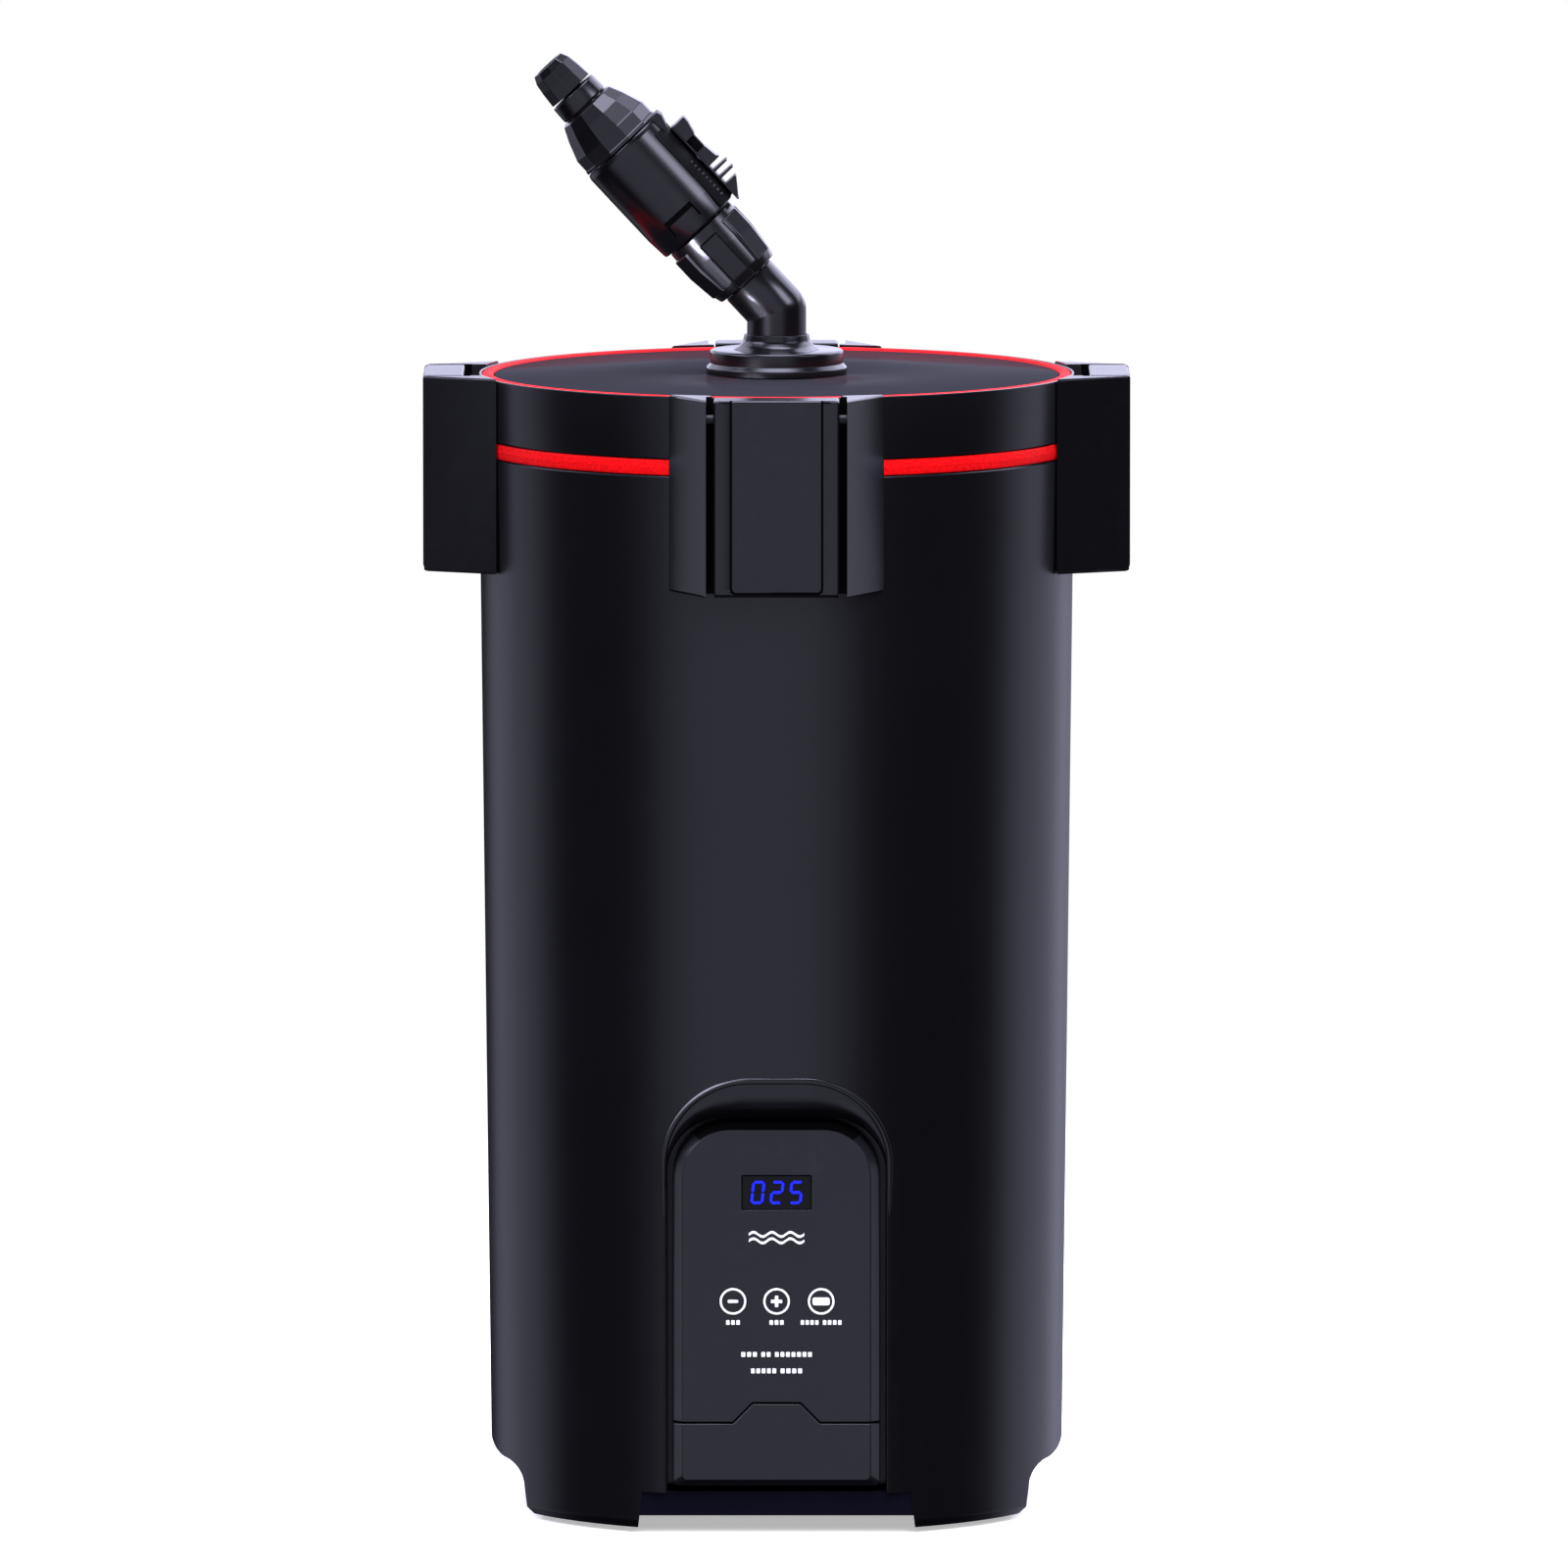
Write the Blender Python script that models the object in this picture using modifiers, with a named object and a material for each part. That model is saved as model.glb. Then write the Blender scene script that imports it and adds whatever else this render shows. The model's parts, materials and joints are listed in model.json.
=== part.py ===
"""Canister filter for an aquarium, built as separate pieces.

Units are metres. The origin is on the floor under the centre of the barrel, +Z is up and the
front, with the controller, faces -Y. Every piece is one closed solid in its own object.
"""

import math

import bmesh
import bpy
from mathutils import Matrix, Vector

OBJECT_NAME = "canister_filter"
GAP = 0.0003  # play between neighbouring pieces

# Barrel
BARREL_STEPS = 60
BARREL_TOP_Z = 0.4303
BARREL_TOP_RADIUS = 0.1210
DRAFT = 0.01117  # radius gained per metre of height
WALL = 0.0030
SKIRT_Z = 0.0008
FLOOR_TOP_Z = 0.1940
FLOOR_BOTTOM_Z = 0.1900

# Pocket for the controller, in the front of the barrel
POCKET_BACK_Y = -0.0860
POCKET_LIP_Y = -0.1000
POCKET_BOTTOM_Z = 0.0160
POCKET_OUTER = (0.0440, 0.1853, 0.0340)  # half width, top height, corner radius
POCKET_INNER = (0.0430, 0.1714, 0.0230)

# Lid
LID_BOTTOM_Z = 0.4373
LID_TOP_Z = 0.4627
LID_DECK_Z = 0.4595
RING_OUTER = 0.1180
RING_INNER = 0.1100

# Latches, measured at the front one
LATCH_BOTTOM_Z = 0.3840
LATCH_TOP_Z = 0.4635
LATCH_FACE_Y = -0.1435
LATCH_PIN_Y = -0.1330
LATCH_PIN_Z = 0.4550
LATCH_BASE_HALF = 0.0445
LATCH_FACE_HALF = 0.0283
LEVER_HALF = 0.0253
SIDES = (("front", 0), ("right", 90), ("back", 180), ("left", 270))

# Hose connection on the lid: the bend, and the tilted axis of the tap
BEND_Z = 0.4880
TILT = math.radians(43)
PIPE_RADIUS = 0.0120
BALL_AT = 0.0670  # distance of the ball from the bend, along the tilted axis

# Controller
CONTROLLER_FACE_Y = -0.1120
CONTROLLER_SHOULDER_Y = -0.1080
CONTROLLER_BACK_Y = -0.0900
CONTROLLER_BOTTOM_Z = 0.0203
PARTING_Z = 0.0462
BUTTON_Z = 0.0960
BUTTONS = (("button_minus", -0.0176), ("button_plus", 0.0), ("button_mode", 0.0180))

# Baskets
BASKET_RADIUS = 0.1130
BASKET_HEIGHT = 0.0720
BASKET_PITCH = 0.0740
BASKET_FLOOR_Z = 0.2050
BASKETS = ("lower", "middle", "upper")

# Pump, on the axis of the barrel, under its floor
OUTLET_Z = 0.1680
OUTLET_Y = 0.1310
CORD_Z = 0.0400


# ---------------------------------------------------------------- helpers


def clear_scene():
    for obj in list(bpy.data.objects):
        bpy.data.objects.remove(obj, do_unlink=True)
    for mesh in list(bpy.data.meshes):
        bpy.data.meshes.remove(mesh)


def new_collection(name):
    found = bpy.data.collections.new(name)
    bpy.context.scene.collection.children.link(found)
    return found


def add(name, mesh):
    """A new object in the parts collection."""
    obj = bpy.data.objects.new(name, mesh)
    PARTS.objects.link(obj)
    return obj


def empty(name, location=(0, 0, 0), rotation=(0, 0, 0), parent=None):
    obj = add(name, None)
    obj.location = location
    obj.rotation_euler = rotation
    obj.empty_display_size = 0.02
    obj.parent = parent
    return obj


def from_bmesh(name, bm):
    bmesh.ops.recalc_face_normals(bm, faces=bm.faces)
    mesh = bpy.data.meshes.new(name)
    bm.to_mesh(mesh)
    bm.free()
    return add(name, mesh)


def block(name, low, high):
    """A box between two corners."""
    low, high = Vector(low), Vector(high)
    bm = bmesh.new()
    place = Matrix.Translation((low + high) / 2) @ Matrix.Diagonal((*(high - low), 1))
    bmesh.ops.create_cube(bm, size=1, matrix=place)
    return from_bmesh(name, bm)


def rod(name, radius, start, end, sides=32):
    """A cylinder between two points."""
    start, end = Vector(start), Vector(end)
    turn = (end - start).to_track_quat("Z", "Y").to_matrix().to_4x4()
    bm = bmesh.new()
    bmesh.ops.create_cone(
        bm,
        cap_ends=True,
        segments=sides,
        radius1=radius,
        radius2=radius,
        depth=(end - start).length,
        matrix=Matrix.Translation((start + end) / 2) @ turn,
    )
    return from_bmesh(name, bm)


def turned(name, profile, steps=48, ring=True):
    """A turned shape: the profile holds (radius, height) from the top of its outer side down.

    A ring's profile is closed. Otherwise the profile starts and ends on the axis.
    """
    mesh = bpy.data.meshes.new(name)
    count = len(profile)
    edges = [(i, i + 1) for i in range(count - 1)]
    if ring:
        edges.append((count - 1, 0))
    mesh.from_pydata([(r, 0, z) for r, z in profile], edges, [])
    obj = add(name, mesh)
    screw = obj.modifiers.new("turn", "SCREW")
    screw.steps = screw.render_steps = steps
    screw.use_merge_vertices = True
    screw.merge_threshold = 0.00001
    return obj


def to_mesh(curve_obj):
    """The curve's solid as a mesh object of the same name, with its caps welded on."""
    bpy.context.view_layer.update()
    graph = bpy.context.evaluated_depsgraph_get()
    mesh = bpy.data.meshes.new_from_object(curve_obj.evaluated_get(graph))
    bm = bmesh.new()
    bm.from_mesh(mesh)
    bmesh.ops.remove_doubles(bm, verts=bm.verts, dist=0.00001)
    bmesh.ops.recalc_face_normals(bm, faces=bm.faces)
    bm.to_mesh(mesh)
    bm.free()
    name, place = curve_obj.name, curve_obj.matrix_world.copy()
    bpy.data.objects.remove(curve_obj, do_unlink=True)
    obj = add(name, mesh)
    obj.matrix_world = place
    return obj


def plate(name, outline, low, high, plane="XY"):
    """A flat outline with thickness, from low to high along the axis the plane leaves free."""
    curve = bpy.data.curves.new(name, "CURVE")
    curve.dimensions = "2D"
    curve.fill_mode = "BOTH"
    curve.extrude = (high - low) / 2
    spline = curve.splines.new("POLY")
    spline.points.add(len(outline) - 1)
    for point, (a, b) in zip(spline.points, outline):
        point.co = (a, b, 0, 1)
    spline.use_cyclic_u = True
    obj = to_mesh(add(name, curve))
    middle = (low + high) / 2
    turns = {
        "XY": Matrix.Translation((0, 0, middle)),
        "XZ": Matrix.Translation((0, middle, 0)) @ Matrix.Rotation(math.pi / 2, 4, "X"),
        "YZ": Matrix(((0, 0, 1, middle), (1, 0, 0, 0), (0, 1, 0, 0), (0, 0, 0, 1))),
    }
    obj.data.transform(turns[plane])
    return obj


def pipe(name, points, radius, resolution=4):
    """A round bar along a polyline."""
    curve = bpy.data.curves.new(name, "CURVE")
    curve.dimensions = "3D"
    curve.bevel_depth = radius
    curve.bevel_resolution = resolution
    curve.use_fill_caps = True
    spline = curve.splines.new("POLY")
    spline.points.add(len(points) - 1)
    for point, place in zip(spline.points, points):
        point.co = (*place, 1)
    return to_mesh(add(name, curve))


def loft(name, sections):
    """A skin through outlines that have the same number of points, closed at both ends."""
    bm = bmesh.new()
    rings = [[bm.verts.new(point) for point in section] for section in sections]
    count = len(rings[0])
    for near, far in zip(rings, rings[1:]):
        for i in range(count):
            j = (i + 1) % count
            bm.faces.new((near[i], near[j], far[j], far[i]))
    bm.faces.new(rings[0])
    bm.faces.new(rings[-1])
    return from_bmesh(name, bm)


def boolean(obj, operation, tools):
    for tool in tools:
        if tool.name in PARTS.objects:
            PARTS.objects.unlink(tool)
            TOOLS.objects.link(tool)
        tool.hide_render = True
        tool.display_type = "WIRE"
        modifier = obj.modifiers.new(operation.lower(), "BOOLEAN")
        modifier.operation = operation
        modifier.object = tool
        modifier.solver = "EXACT"
    return obj


def cut(obj, *tools):
    return boolean(obj, "DIFFERENCE", tools)


def join(obj, *tools):
    return boolean(obj, "UNION", tools)


def common(obj, *tools):
    return boolean(obj, "INTERSECT", tools)


def freeze(obj):
    """Applies the modifiers and removes the Boolean tools that only this object used."""
    bpy.context.view_layer.update()
    graph = bpy.context.evaluated_depsgraph_get()
    mesh = bpy.data.meshes.new_from_object(obj.evaluated_get(graph))
    tools = [m.object for m in obj.modifiers if m.type == "BOOLEAN"]
    obj.modifiers.clear()
    obj.data = mesh
    for tool in tools:
        bpy.data.objects.remove(tool, do_unlink=True)
    return obj


def soften(obj, width, segments=1, angle=40):
    """Rounds the sharp edges."""
    bevel = obj.modifiers.new("edges", "BEVEL")
    bevel.width = width
    bevel.segments = segments
    bevel.limit_method = "ANGLE"
    bevel.angle_limit = math.radians(angle)
    return obj


def material(name, colour, roughness=0.45, metallic=0.0):
    found = bpy.data.materials.new(name)
    found.use_nodes = True
    shader = found.node_tree.nodes["Principled BSDF"]
    shader.inputs["Base Color"].default_value = (*colour, 1)
    shader.inputs["Roughness"].default_value = roughness
    shader.inputs["Metallic"].default_value = metallic
    found.diffuse_color = (*colour, 1)
    return found


def finish(obj, colour, parent=None, roughness=0.45, metallic=0.0):
    """Gives the piece its own material, smooth shading and parent, and keeps it where it is."""
    obj.data.materials.clear()
    obj.data.materials.append(material(obj.name, colour, roughness, metallic))
    obj.data.shade_smooth()
    if not obj.data.has_custom_normals and obj.data.polygons:
        obj.data.set_sharp_from_angle(angle=math.radians(35))
    if parent:
        bpy.context.view_layer.update()
        obj.parent = parent
        obj.matrix_parent_inverse = parent.matrix_world.inverted()
    return obj


CHARCOAL = (0.018, 0.018, 0.026)
DARK = (0.008, 0.008, 0.012)
RED = (0.62, 0.004, 0.008)
RUBBER = (0.010, 0.010, 0.010)
STEEL = (0.55, 0.56, 0.58)
WHITE = (0.62, 0.61, 0.57)
COPPER = (0.45, 0.17, 0.06)


# ---------------------------------------------------------------- barrel and base


def barrel_radius(z):
    return BARREL_TOP_RADIUS - DRAFT * (BARREL_TOP_Z - z)


def arch(half, top, corner, bottom, y, steps=7):
    """A window outline with two rounded upper corners, as points at depth y."""
    points = [(half, y, bottom)]
    for side, start in ((1, 0), (-1, 90)):
        for i in range(steps + 1):
            angle = math.radians(start + 90 * i / steps)
            points.append(
                (
                    side * (half - corner) + corner * math.cos(angle),
                    y,
                    top - corner + corner * math.sin(angle),
                )
            )
    points.append((-half, y, bottom))
    return points


def scoop_outline():
    """The S-shaped section of the hand grips: an outward arc, an inward arc, then down."""
    top_x, foot_x = 0.1168, 0.1026
    radius = (top_x - foot_x) / 2 + 0.0012
    points = []
    for i in range(6):
        angle = math.radians(80 * i / 5)
        points.append((top_x - radius * (1 - math.cos(angle)), 0.0290 - radius * math.sin(angle)))
    end = points[-1]
    for i in range(1, 6):
        angle = math.radians(80 * i / 5)
        points.append(
            (
                end[0] + (foot_x - end[0]) * math.sin(angle) / math.sin(math.radians(80)),
                end[1] - 0.0095 * (1 - math.cos(angle)),
            )
        )
    return points + [(0.1018, 0.0035), (0.0988, SKIRT_Z), (0.0988, -0.01), (0.14, -0.01), (0.14, 0.034)]


def make_barrel():
    radius, top = barrel_radius, BARREL_TOP_Z
    barrel = turned(
        "barrel",
        [
            (0, top),
            (radius(top) - 0.0006, top),
            (radius(top), top - 0.0006),
            (radius(0.22), 0.22),
            (radius(0.005), 0.005),
            (radius(0) - 0.0025, SKIRT_Z),
            (0, SKIRT_Z),
        ],
        BARREL_STEPS,
        ring=False,
    )
    inside = turned(
        "inside_tool",
        [
            (0, 0.45),
            (radius(top) - WALL, 0.45),
            (radius(0.2) - WALL, FLOOR_TOP_Z),
            (0.0160, FLOOR_TOP_Z),
            (0.0160, FLOOR_BOTTOM_Z),
            (radius(0.19) - WALL, FLOOR_BOTTOM_Z),
            (radius(0) - WALL, -0.01),
            (0, -0.01),
        ],
        BARREL_STEPS,
        ring=False,
    )
    cut(
        inside,
        block("pocket_block", (-0.049, -0.13, 0.0184), (0.049, -0.082, 0.1920)),
        block("grip_block_left", (-0.13, -0.10, -0.02), (-0.095, 0.10, 0.037)),
        block("grip_block_right", (0.095, -0.10, -0.02), (0.13, 0.10, 0.037)),
    )
    pocket = loft(
        "pocket_tool",
        [
            arch(0.0447, 0.1884, 0.0370, POCKET_BOTTOM_Z, -0.1250),
            arch(*POCKET_OUTER, POCKET_BOTTOM_Z, -0.1180),
            arch(*POCKET_INNER, POCKET_BOTTOM_Z, POCKET_LIP_Y),
            arch(*POCKET_INNER, POCKET_BOTTOM_Z, POCKET_BACK_Y),
        ],
    )
    front_gap = plate(
        "front_gap_tool",
        [(-0.0574, -0.01), (0.0574, -0.01), (0.0543, 0.0174), (-0.0543, 0.0174)],
        -0.13,
        -0.09,
        "XZ",
    )
    cut(
        barrel,
        rod("outlet_tool", 0.0104, (0, 0.10, OUTLET_Z), (0, 0.13, OUTLET_Z), 26),
        rod("cord_tool", 0.0063, (0, 0.09, CORD_Z), (0, 0.13, CORD_Z), 22),
    )
    cut(barrel, inside, pocket, front_gap)
    for side in (1, -1):
        outline = [(side * x, z) for x, z in scoop_outline()]
        cut(barrel, plate(f"grip_tool_{side}", outline, -0.07, 0.07, "XZ"))
    for name, angle in SIDES:
        lug = block(f"lug_{name}", (-0.011, -0.1248, 0.4080), (0.011, -0.1190, 0.4140))
        lug.rotation_euler.z = math.radians(angle)
        join(barrel, lug)
    finish(barrel, CHARCOAL, roughness=0.38)


def make_base():
    plate_disc = rod("base_plate", 0.1126, (0, 0, 0.0040), (0, 0, 0.0070), 64)
    common(plate_disc, block("base_plate_limits", (-0.0945, -0.0998, 0), (0.0945, 0.12, 0.05)))
    band = plate(
        "base_band",
        [(-0.0555, 0.0045), (0.0555, 0.0045), (0.0540, 0.0171), (-0.0540, 0.0171)],
        -0.0998,
        -0.0968,
        "XZ",
    )
    join(plate_disc, band)
    finish(plate_disc, (0.006, 0.007, 0.014))
    for name, x, y in (
        ("foot_front_left", -0.068, -0.062),
        ("foot_front_right", 0.068, -0.062),
        ("foot_back_left", -0.068, 0.066),
        ("foot_back_right", 0.068, 0.066),
    ):
        foot = turned(
            name,
            [(0, 0.0037), (0.0090, 0.0037), (0.0090, 0.0010), (0.0080, 0), (0, 0)],
            16,
            ring=False,
        )
        foot.location = (x, y, 0)
        finish(foot, RUBBER, roughness=0.8)
    gland = turned(
        "cord_gland",
        [(0.0030, 0.0100), (0.0046, 0.0100), (0.0060, 0.0005), (0.0060, -0.0080), (0.0030, -0.0080)],
        20,
    )
    collar = turned("gland_collar", [(0.0045, 0.0022), (0.0085, 0.0022), (0.0085, 0), (0.0045, 0)], 20)
    join(gland, collar)
    cord = rod("cord_core", 0.0034, (0, 0, -0.012), (0, 0, 0.018), 16)
    join(gland, cord)
    place = Matrix.Translation((0, 0.1170, CORD_Z)) @ Matrix.Rotation(-math.pi / 2, 4, "X")
    for piece in (collar, cord, gland):
        piece.matrix_world = place
    finish(gland, RUBBER, roughness=0.7)


# ---------------------------------------------------------------- pump


def make_pump():
    grille = turned(
        "intake_grille",
        [
            (0, 0.2035),
            (0.026, 0.2035),
            (0.034, 0.1985),
            (0.034, 0.1943),
            (0.031, 0.1943),
            (0.031, 0.1968),
            (0.025, 0.2010),
            (0, 0.2010),
        ],
        24,
        ring=False,
    )
    for i in range(8):
        slot = block(f"grille_slot_{i}", (0.006, -0.0016, 0.198), (0.0245, 0.0016, 0.206))
        slot.rotation_euler.z = math.radians(45 * i)
        cut(grille, slot)
    finish(grille, DARK)

    volute = turned(
        "volute",
        [
            (0.0400, 0.1897),
            (0.0460, 0.1897),
            (0.0460, 0.1865),
            (0.0430, 0.1840),
            (0.0430, 0.1520),
            (0.0100, 0.1520),
            (0.0100, 0.1560),
            (0.0400, 0.1560),
        ],
        36,
    )
    join(volute, rod("discharge", 0.0115, (0, 0.0395, OUTLET_Z), (0, 0.1120, OUTLET_Z)))
    cut(volute, rod("discharge_bore", 0.0080, (0, 0.030, OUTLET_Z), (0, 0.1130, OUTLET_Z)))
    finish(volute, DARK)

    cup = [
        (0, 0.0872),
        (0.0310, 0.0872),
        (0.0310, 0.1517),
        (0.0340, 0.1517),
        (0.0340, 0.0860),
        (0.0320, 0.0840),
        (0, 0.0840),
    ]
    finish(turned("motor_housing", cup, 28, ring=False), DARK)

    finish(
        turned("stator", [(0.0150, 0.140), (0.0306, 0.140), (0.0306, 0.095), (0.0150, 0.095)], 28),
        COPPER,
        roughness=0.4,
        metallic=0.8,
    )
    for name, low, outer in (("bearing_lower", 0.0876, 0.0075), ("bearing_upper", 0.1521, 0.0096)):
        bearing = [(0.0028, low + 0.0040), (outer, low + 0.0040), (outer, low), (0.0028, low)]
        finish(turned(name, bearing, 16), STEEL, roughness=0.25, metallic=1.0)

    axis = empty("pump_axis")
    finish(rod("motor_shaft", 0.0025, (0, 0, 0.0880), (0, 0, 0.1815), 20), STEEL, axis, 0.2, 1.0)
    magnet = [(0.0028, 0.139), (0.0140, 0.139), (0.0140, 0.096), (0.0028, 0.096)]
    finish(turned("rotor_magnet", magnet, 20), (0.05, 0.05, 0.055), axis, 0.35, 0.6)
    impeller = turned(
        "impeller",
        [(0.0028, 0.1810), (0.0070, 0.1810), (0.0100, 0.1620), (0.0350, 0.1610), (0.0350, 0.1590), (0.0028, 0.1590)],
        28,
    )
    for i in range(6):
        blade = block(f"blade_{i}", (0.0060, -0.0010, 0.1600), (0.0345, 0.0010, 0.1790))
        blade.data.transform(Matrix.Rotation(math.radians(14), 4, "Z"))
        blade.rotation_euler.z = math.radians(60 * i)
        join(impeller, blade)
    finish(impeller, (0.5, 0.5, 0.48), axis)


def outlet_bend(radius):
    """The quarter turn from the outlet's axis to its upright hose end."""
    angles = [math.radians(90 * i / 4) for i in range(5)]
    return [
        (0, OUTLET_Y - radius + radius * math.sin(a), OUTLET_Z + radius - radius * math.cos(a)) for a in angles
    ]


def make_outlet():
    axis = empty("outlet_axis", (0, OUTLET_Y, OUTLET_Z))
    low, high = OUTLET_Z + 0.0230, OUTLET_Z + 0.0450
    elbow = pipe("outlet_elbow", [(0, 0.1150, OUTLET_Z), *outlet_bend(0.0100), (0, OUTLET_Y, low + 0.001)], 0.0090)
    barbs = [(0, high), (0.0090, high)]
    for i in range(3):
        barbs += [(0.0106, high - 0.0050 - 0.0065 * i), (0.0092, high - 0.0052 - 0.0065 * i)]
    barbs += [(0.0092, low), (0, low)]
    hose_end = turned("outlet_hose_end", barbs, 26, ring=False)
    hose_end.location = (0, OUTLET_Y, 0)
    join(
        elbow,
        hose_end,
        rod("outlet_spigot", 0.0076, (0, 0.0960, OUTLET_Z), (0, 0.1180, OUTLET_Z), 24),
        rod("outlet_collar", 0.0100, (0, 0.1133, OUTLET_Z), (0, 0.1216, OUTLET_Z), 26),
    )
    bore = [(0, 0.0900, OUTLET_Z), *outlet_bend(0.0100), (0, OUTLET_Y, OUTLET_Z + 0.0600)]
    cut(elbow, pipe("outlet_bore", bore, 0.0056, 3))
    finish(elbow, DARK, axis)
    nut = turned("outlet_nut", [(0.0108, 0.0030), (0.0170, 0.0030), (0.0180, 0), (0.0108, 0)], 12)
    nut.matrix_world = Matrix.Translation((0, 0.1190, OUTLET_Z)) @ Matrix.Rotation(-math.pi / 2, 4, "X")
    finish(nut, DARK)


# ---------------------------------------------------------------- lid


def make_lid():
    axis = empty("lid_axis", (0, 0, LID_BOTTOM_Z))
    shell = [
        (RING_OUTER + 0.0003, LID_TOP_Z),
        (BARREL_TOP_RADIUS - 0.0008, LID_TOP_Z),
        (BARREL_TOP_RADIUS, LID_TOP_Z - 0.0008),
        (BARREL_TOP_RADIUS, LID_BOTTOM_Z),
        (0.1174, LID_BOTTOM_Z),
        (0.1174, 0.4245),
        (0.1145, 0.4245),
        (0.1145, 0.4555),
        (0.0195, 0.4555),
        (0.0195, 0.4460),
        (0.0090, 0.4460),
        (0.0090, 0.4485),
        (0.0151, 0.4485),
        (0.0151, LID_DECK_Z),
        (RING_OUTER + 0.0003, LID_DECK_Z),
    ]
    finish(turned("lid_shell", shell, BARREL_STEPS), CHARCOAL, axis, 0.38)
    top = LID_TOP_Z + 0.0003
    ring = [(RING_INNER, top), (RING_OUTER, top), (RING_OUTER, LID_DECK_Z + GAP), (RING_INNER, LID_DECK_Z + GAP)]
    finish(turned("lid_trim_ring", ring, BARREL_STEPS), RED, axis, 0.35)
    panel = [
        (0.0155, LID_TOP_Z - 0.0007),
        (RING_INNER - GAP, LID_TOP_Z - 0.0007),
        (RING_INNER - GAP, LID_DECK_Z + GAP),
        (0.0155, LID_DECK_Z + GAP),
    ]
    finish(turned("lid_panel", panel, BARREL_STEPS), (0.03, 0.03, 0.04), axis, 0.18)
    seal = [
        (0.1178, LID_BOTTOM_Z - GAP),
        (0.1208, LID_BOTTOM_Z - GAP),
        (0.1208, BARREL_TOP_Z + GAP),
        (0.1178, BARREL_TOP_Z + GAP),
    ]
    finish(turned("rim_seal", seal, BARREL_STEPS), RED, axis, 0.5)
    collar = [
        (0.0125, 0.4765),
        (0.0133, 0.4765),
        (0.0160, 0.4720),
        (0.0270, 0.4720),
        (0.0270, 0.4690),
        (0.0257, 0.4684),
        (0.0257, 0.4658),
        (0.0285, 0.4652),
        (0.0285, 0.4624),
        (0.0148, 0.4624),
        (0.0148, 0.4525),
        (0.0125, 0.4525),
    ]
    finish(turned("port_collar", collar, 28), CHARCOAL, axis, 0.3)
    return axis


def latch_meshes():
    """One bracket, lever and pin for the front latch. The lever and pin are about the pin's axis."""
    face, base = LATCH_FACE_Y, -0.1110
    bracket = plate(
        "bracket",
        [(-LATCH_BASE_HALF, base), (LATCH_BASE_HALF, base), (LATCH_FACE_HALF, face), (-LATCH_FACE_HALF, face)],
        LATCH_BOTTOM_Z,
        LATCH_TOP_Z,
    )
    soften(bracket, 0.0010, 1, 30)
    slot = LEVER_HALF + 0.0022
    cut(
        bracket,
        rod("bracket_seat", 0.1215, (0, 0, 0.35), (0, 0, 0.50), BARREL_STEPS),
        block("bracket_slot", (-slot, -0.16, 0.35), (slot, -0.1242, 0.50)),
        block("bracket_top_slot", (-slot, -0.16, 0.4400), (slot, -0.11, 0.50)),
        block("bracket_notch", (-0.013, -0.13, 0.35), (0.013, -0.11, 0.4165)),
        rod("bracket_pin_hole", 0.0023, (-0.0315, LATCH_PIN_Y, LATCH_PIN_Z), (0.0315, LATCH_PIN_Y, LATCH_PIN_Z), 16),
    )
    half, cheek = LEVER_HALF, LEVER_HALF - 0.0033
    lever = block("lever", (-half, face, LATCH_BOTTOM_Z), (half, -0.1270, LATCH_TOP_Z))
    soften(lever, 0.0010, 1, 30)
    cut(lever, block("lever_hollow", (-cheek, face + 0.003, 0.37), (cheek, -0.11, LATCH_TOP_Z - 0.0025)))
    join(
        lever,
        rod("lever_boss", 0.0045, (-cheek - 0.001, LATCH_PIN_Y, LATCH_PIN_Z), (cheek + 0.001, LATCH_PIN_Y, LATCH_PIN_Z), 16),
        block("lever_hook", (-0.0090, face + 0.0015, 0.3990), (0.0090, -0.1252, 0.4075)),
    )
    cut(lever, rod("lever_bore", 0.0023, (-0.04, LATCH_PIN_Y, LATCH_PIN_Z), (0.04, LATCH_PIN_Y, LATCH_PIN_Z), 16))
    pin = rod("pin", 0.0020, (-0.0312, LATCH_PIN_Y, LATCH_PIN_Z), (0.0312, LATCH_PIN_Y, LATCH_PIN_Z), 16)
    meshes = []
    for obj in (bracket, lever, pin):
        freeze(obj)
        meshes.append(obj.data)
        bpy.data.objects.remove(obj, do_unlink=True)
    for mesh in meshes[1:]:
        mesh.transform(Matrix.Translation((0, -LATCH_PIN_Y, -LATCH_PIN_Z)))
    return meshes


def make_latches(lid_axis):
    bracket, lever, pin = latch_meshes()
    for side, angle in SIDES:
        turn = Matrix.Rotation(math.radians(angle), 4, "Z")
        frame = empty(f"latch_{side}_frame", (0, 0, 0), (0, 0, math.radians(angle)))
        axis = empty(f"latch_{side}_axis", (0, LATCH_PIN_Y, LATCH_PIN_Z), (0, 0, 0), frame)
        place = turn @ Matrix.Translation((0, LATCH_PIN_Y, LATCH_PIN_Z))
        for name, mesh, where, parent, colour in (
            (f"latch_bracket_{side}", bracket, turn, lid_axis, CHARCOAL),
            (f"latch_lever_{side}", lever, place, axis, CHARCOAL),
            (f"latch_pin_{side}", pin, place, lid_axis, STEEL),
        ):
            obj = add(name, mesh.copy())
            obj.matrix_world = where
            finish(obj, colour, parent, 0.38, 1.0 if colour is STEEL else 0.0)


# ---------------------------------------------------------------- hose connection


def along(distance, offset=0.0):
    """A point on the tilted axis at this distance from the bend, moved sideways by offset."""
    return (
        -distance * math.sin(TILT) + offset * math.cos(TILT),
        0,
        BEND_Z + distance * math.cos(TILT) + offset * math.sin(TILT),
    )


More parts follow.
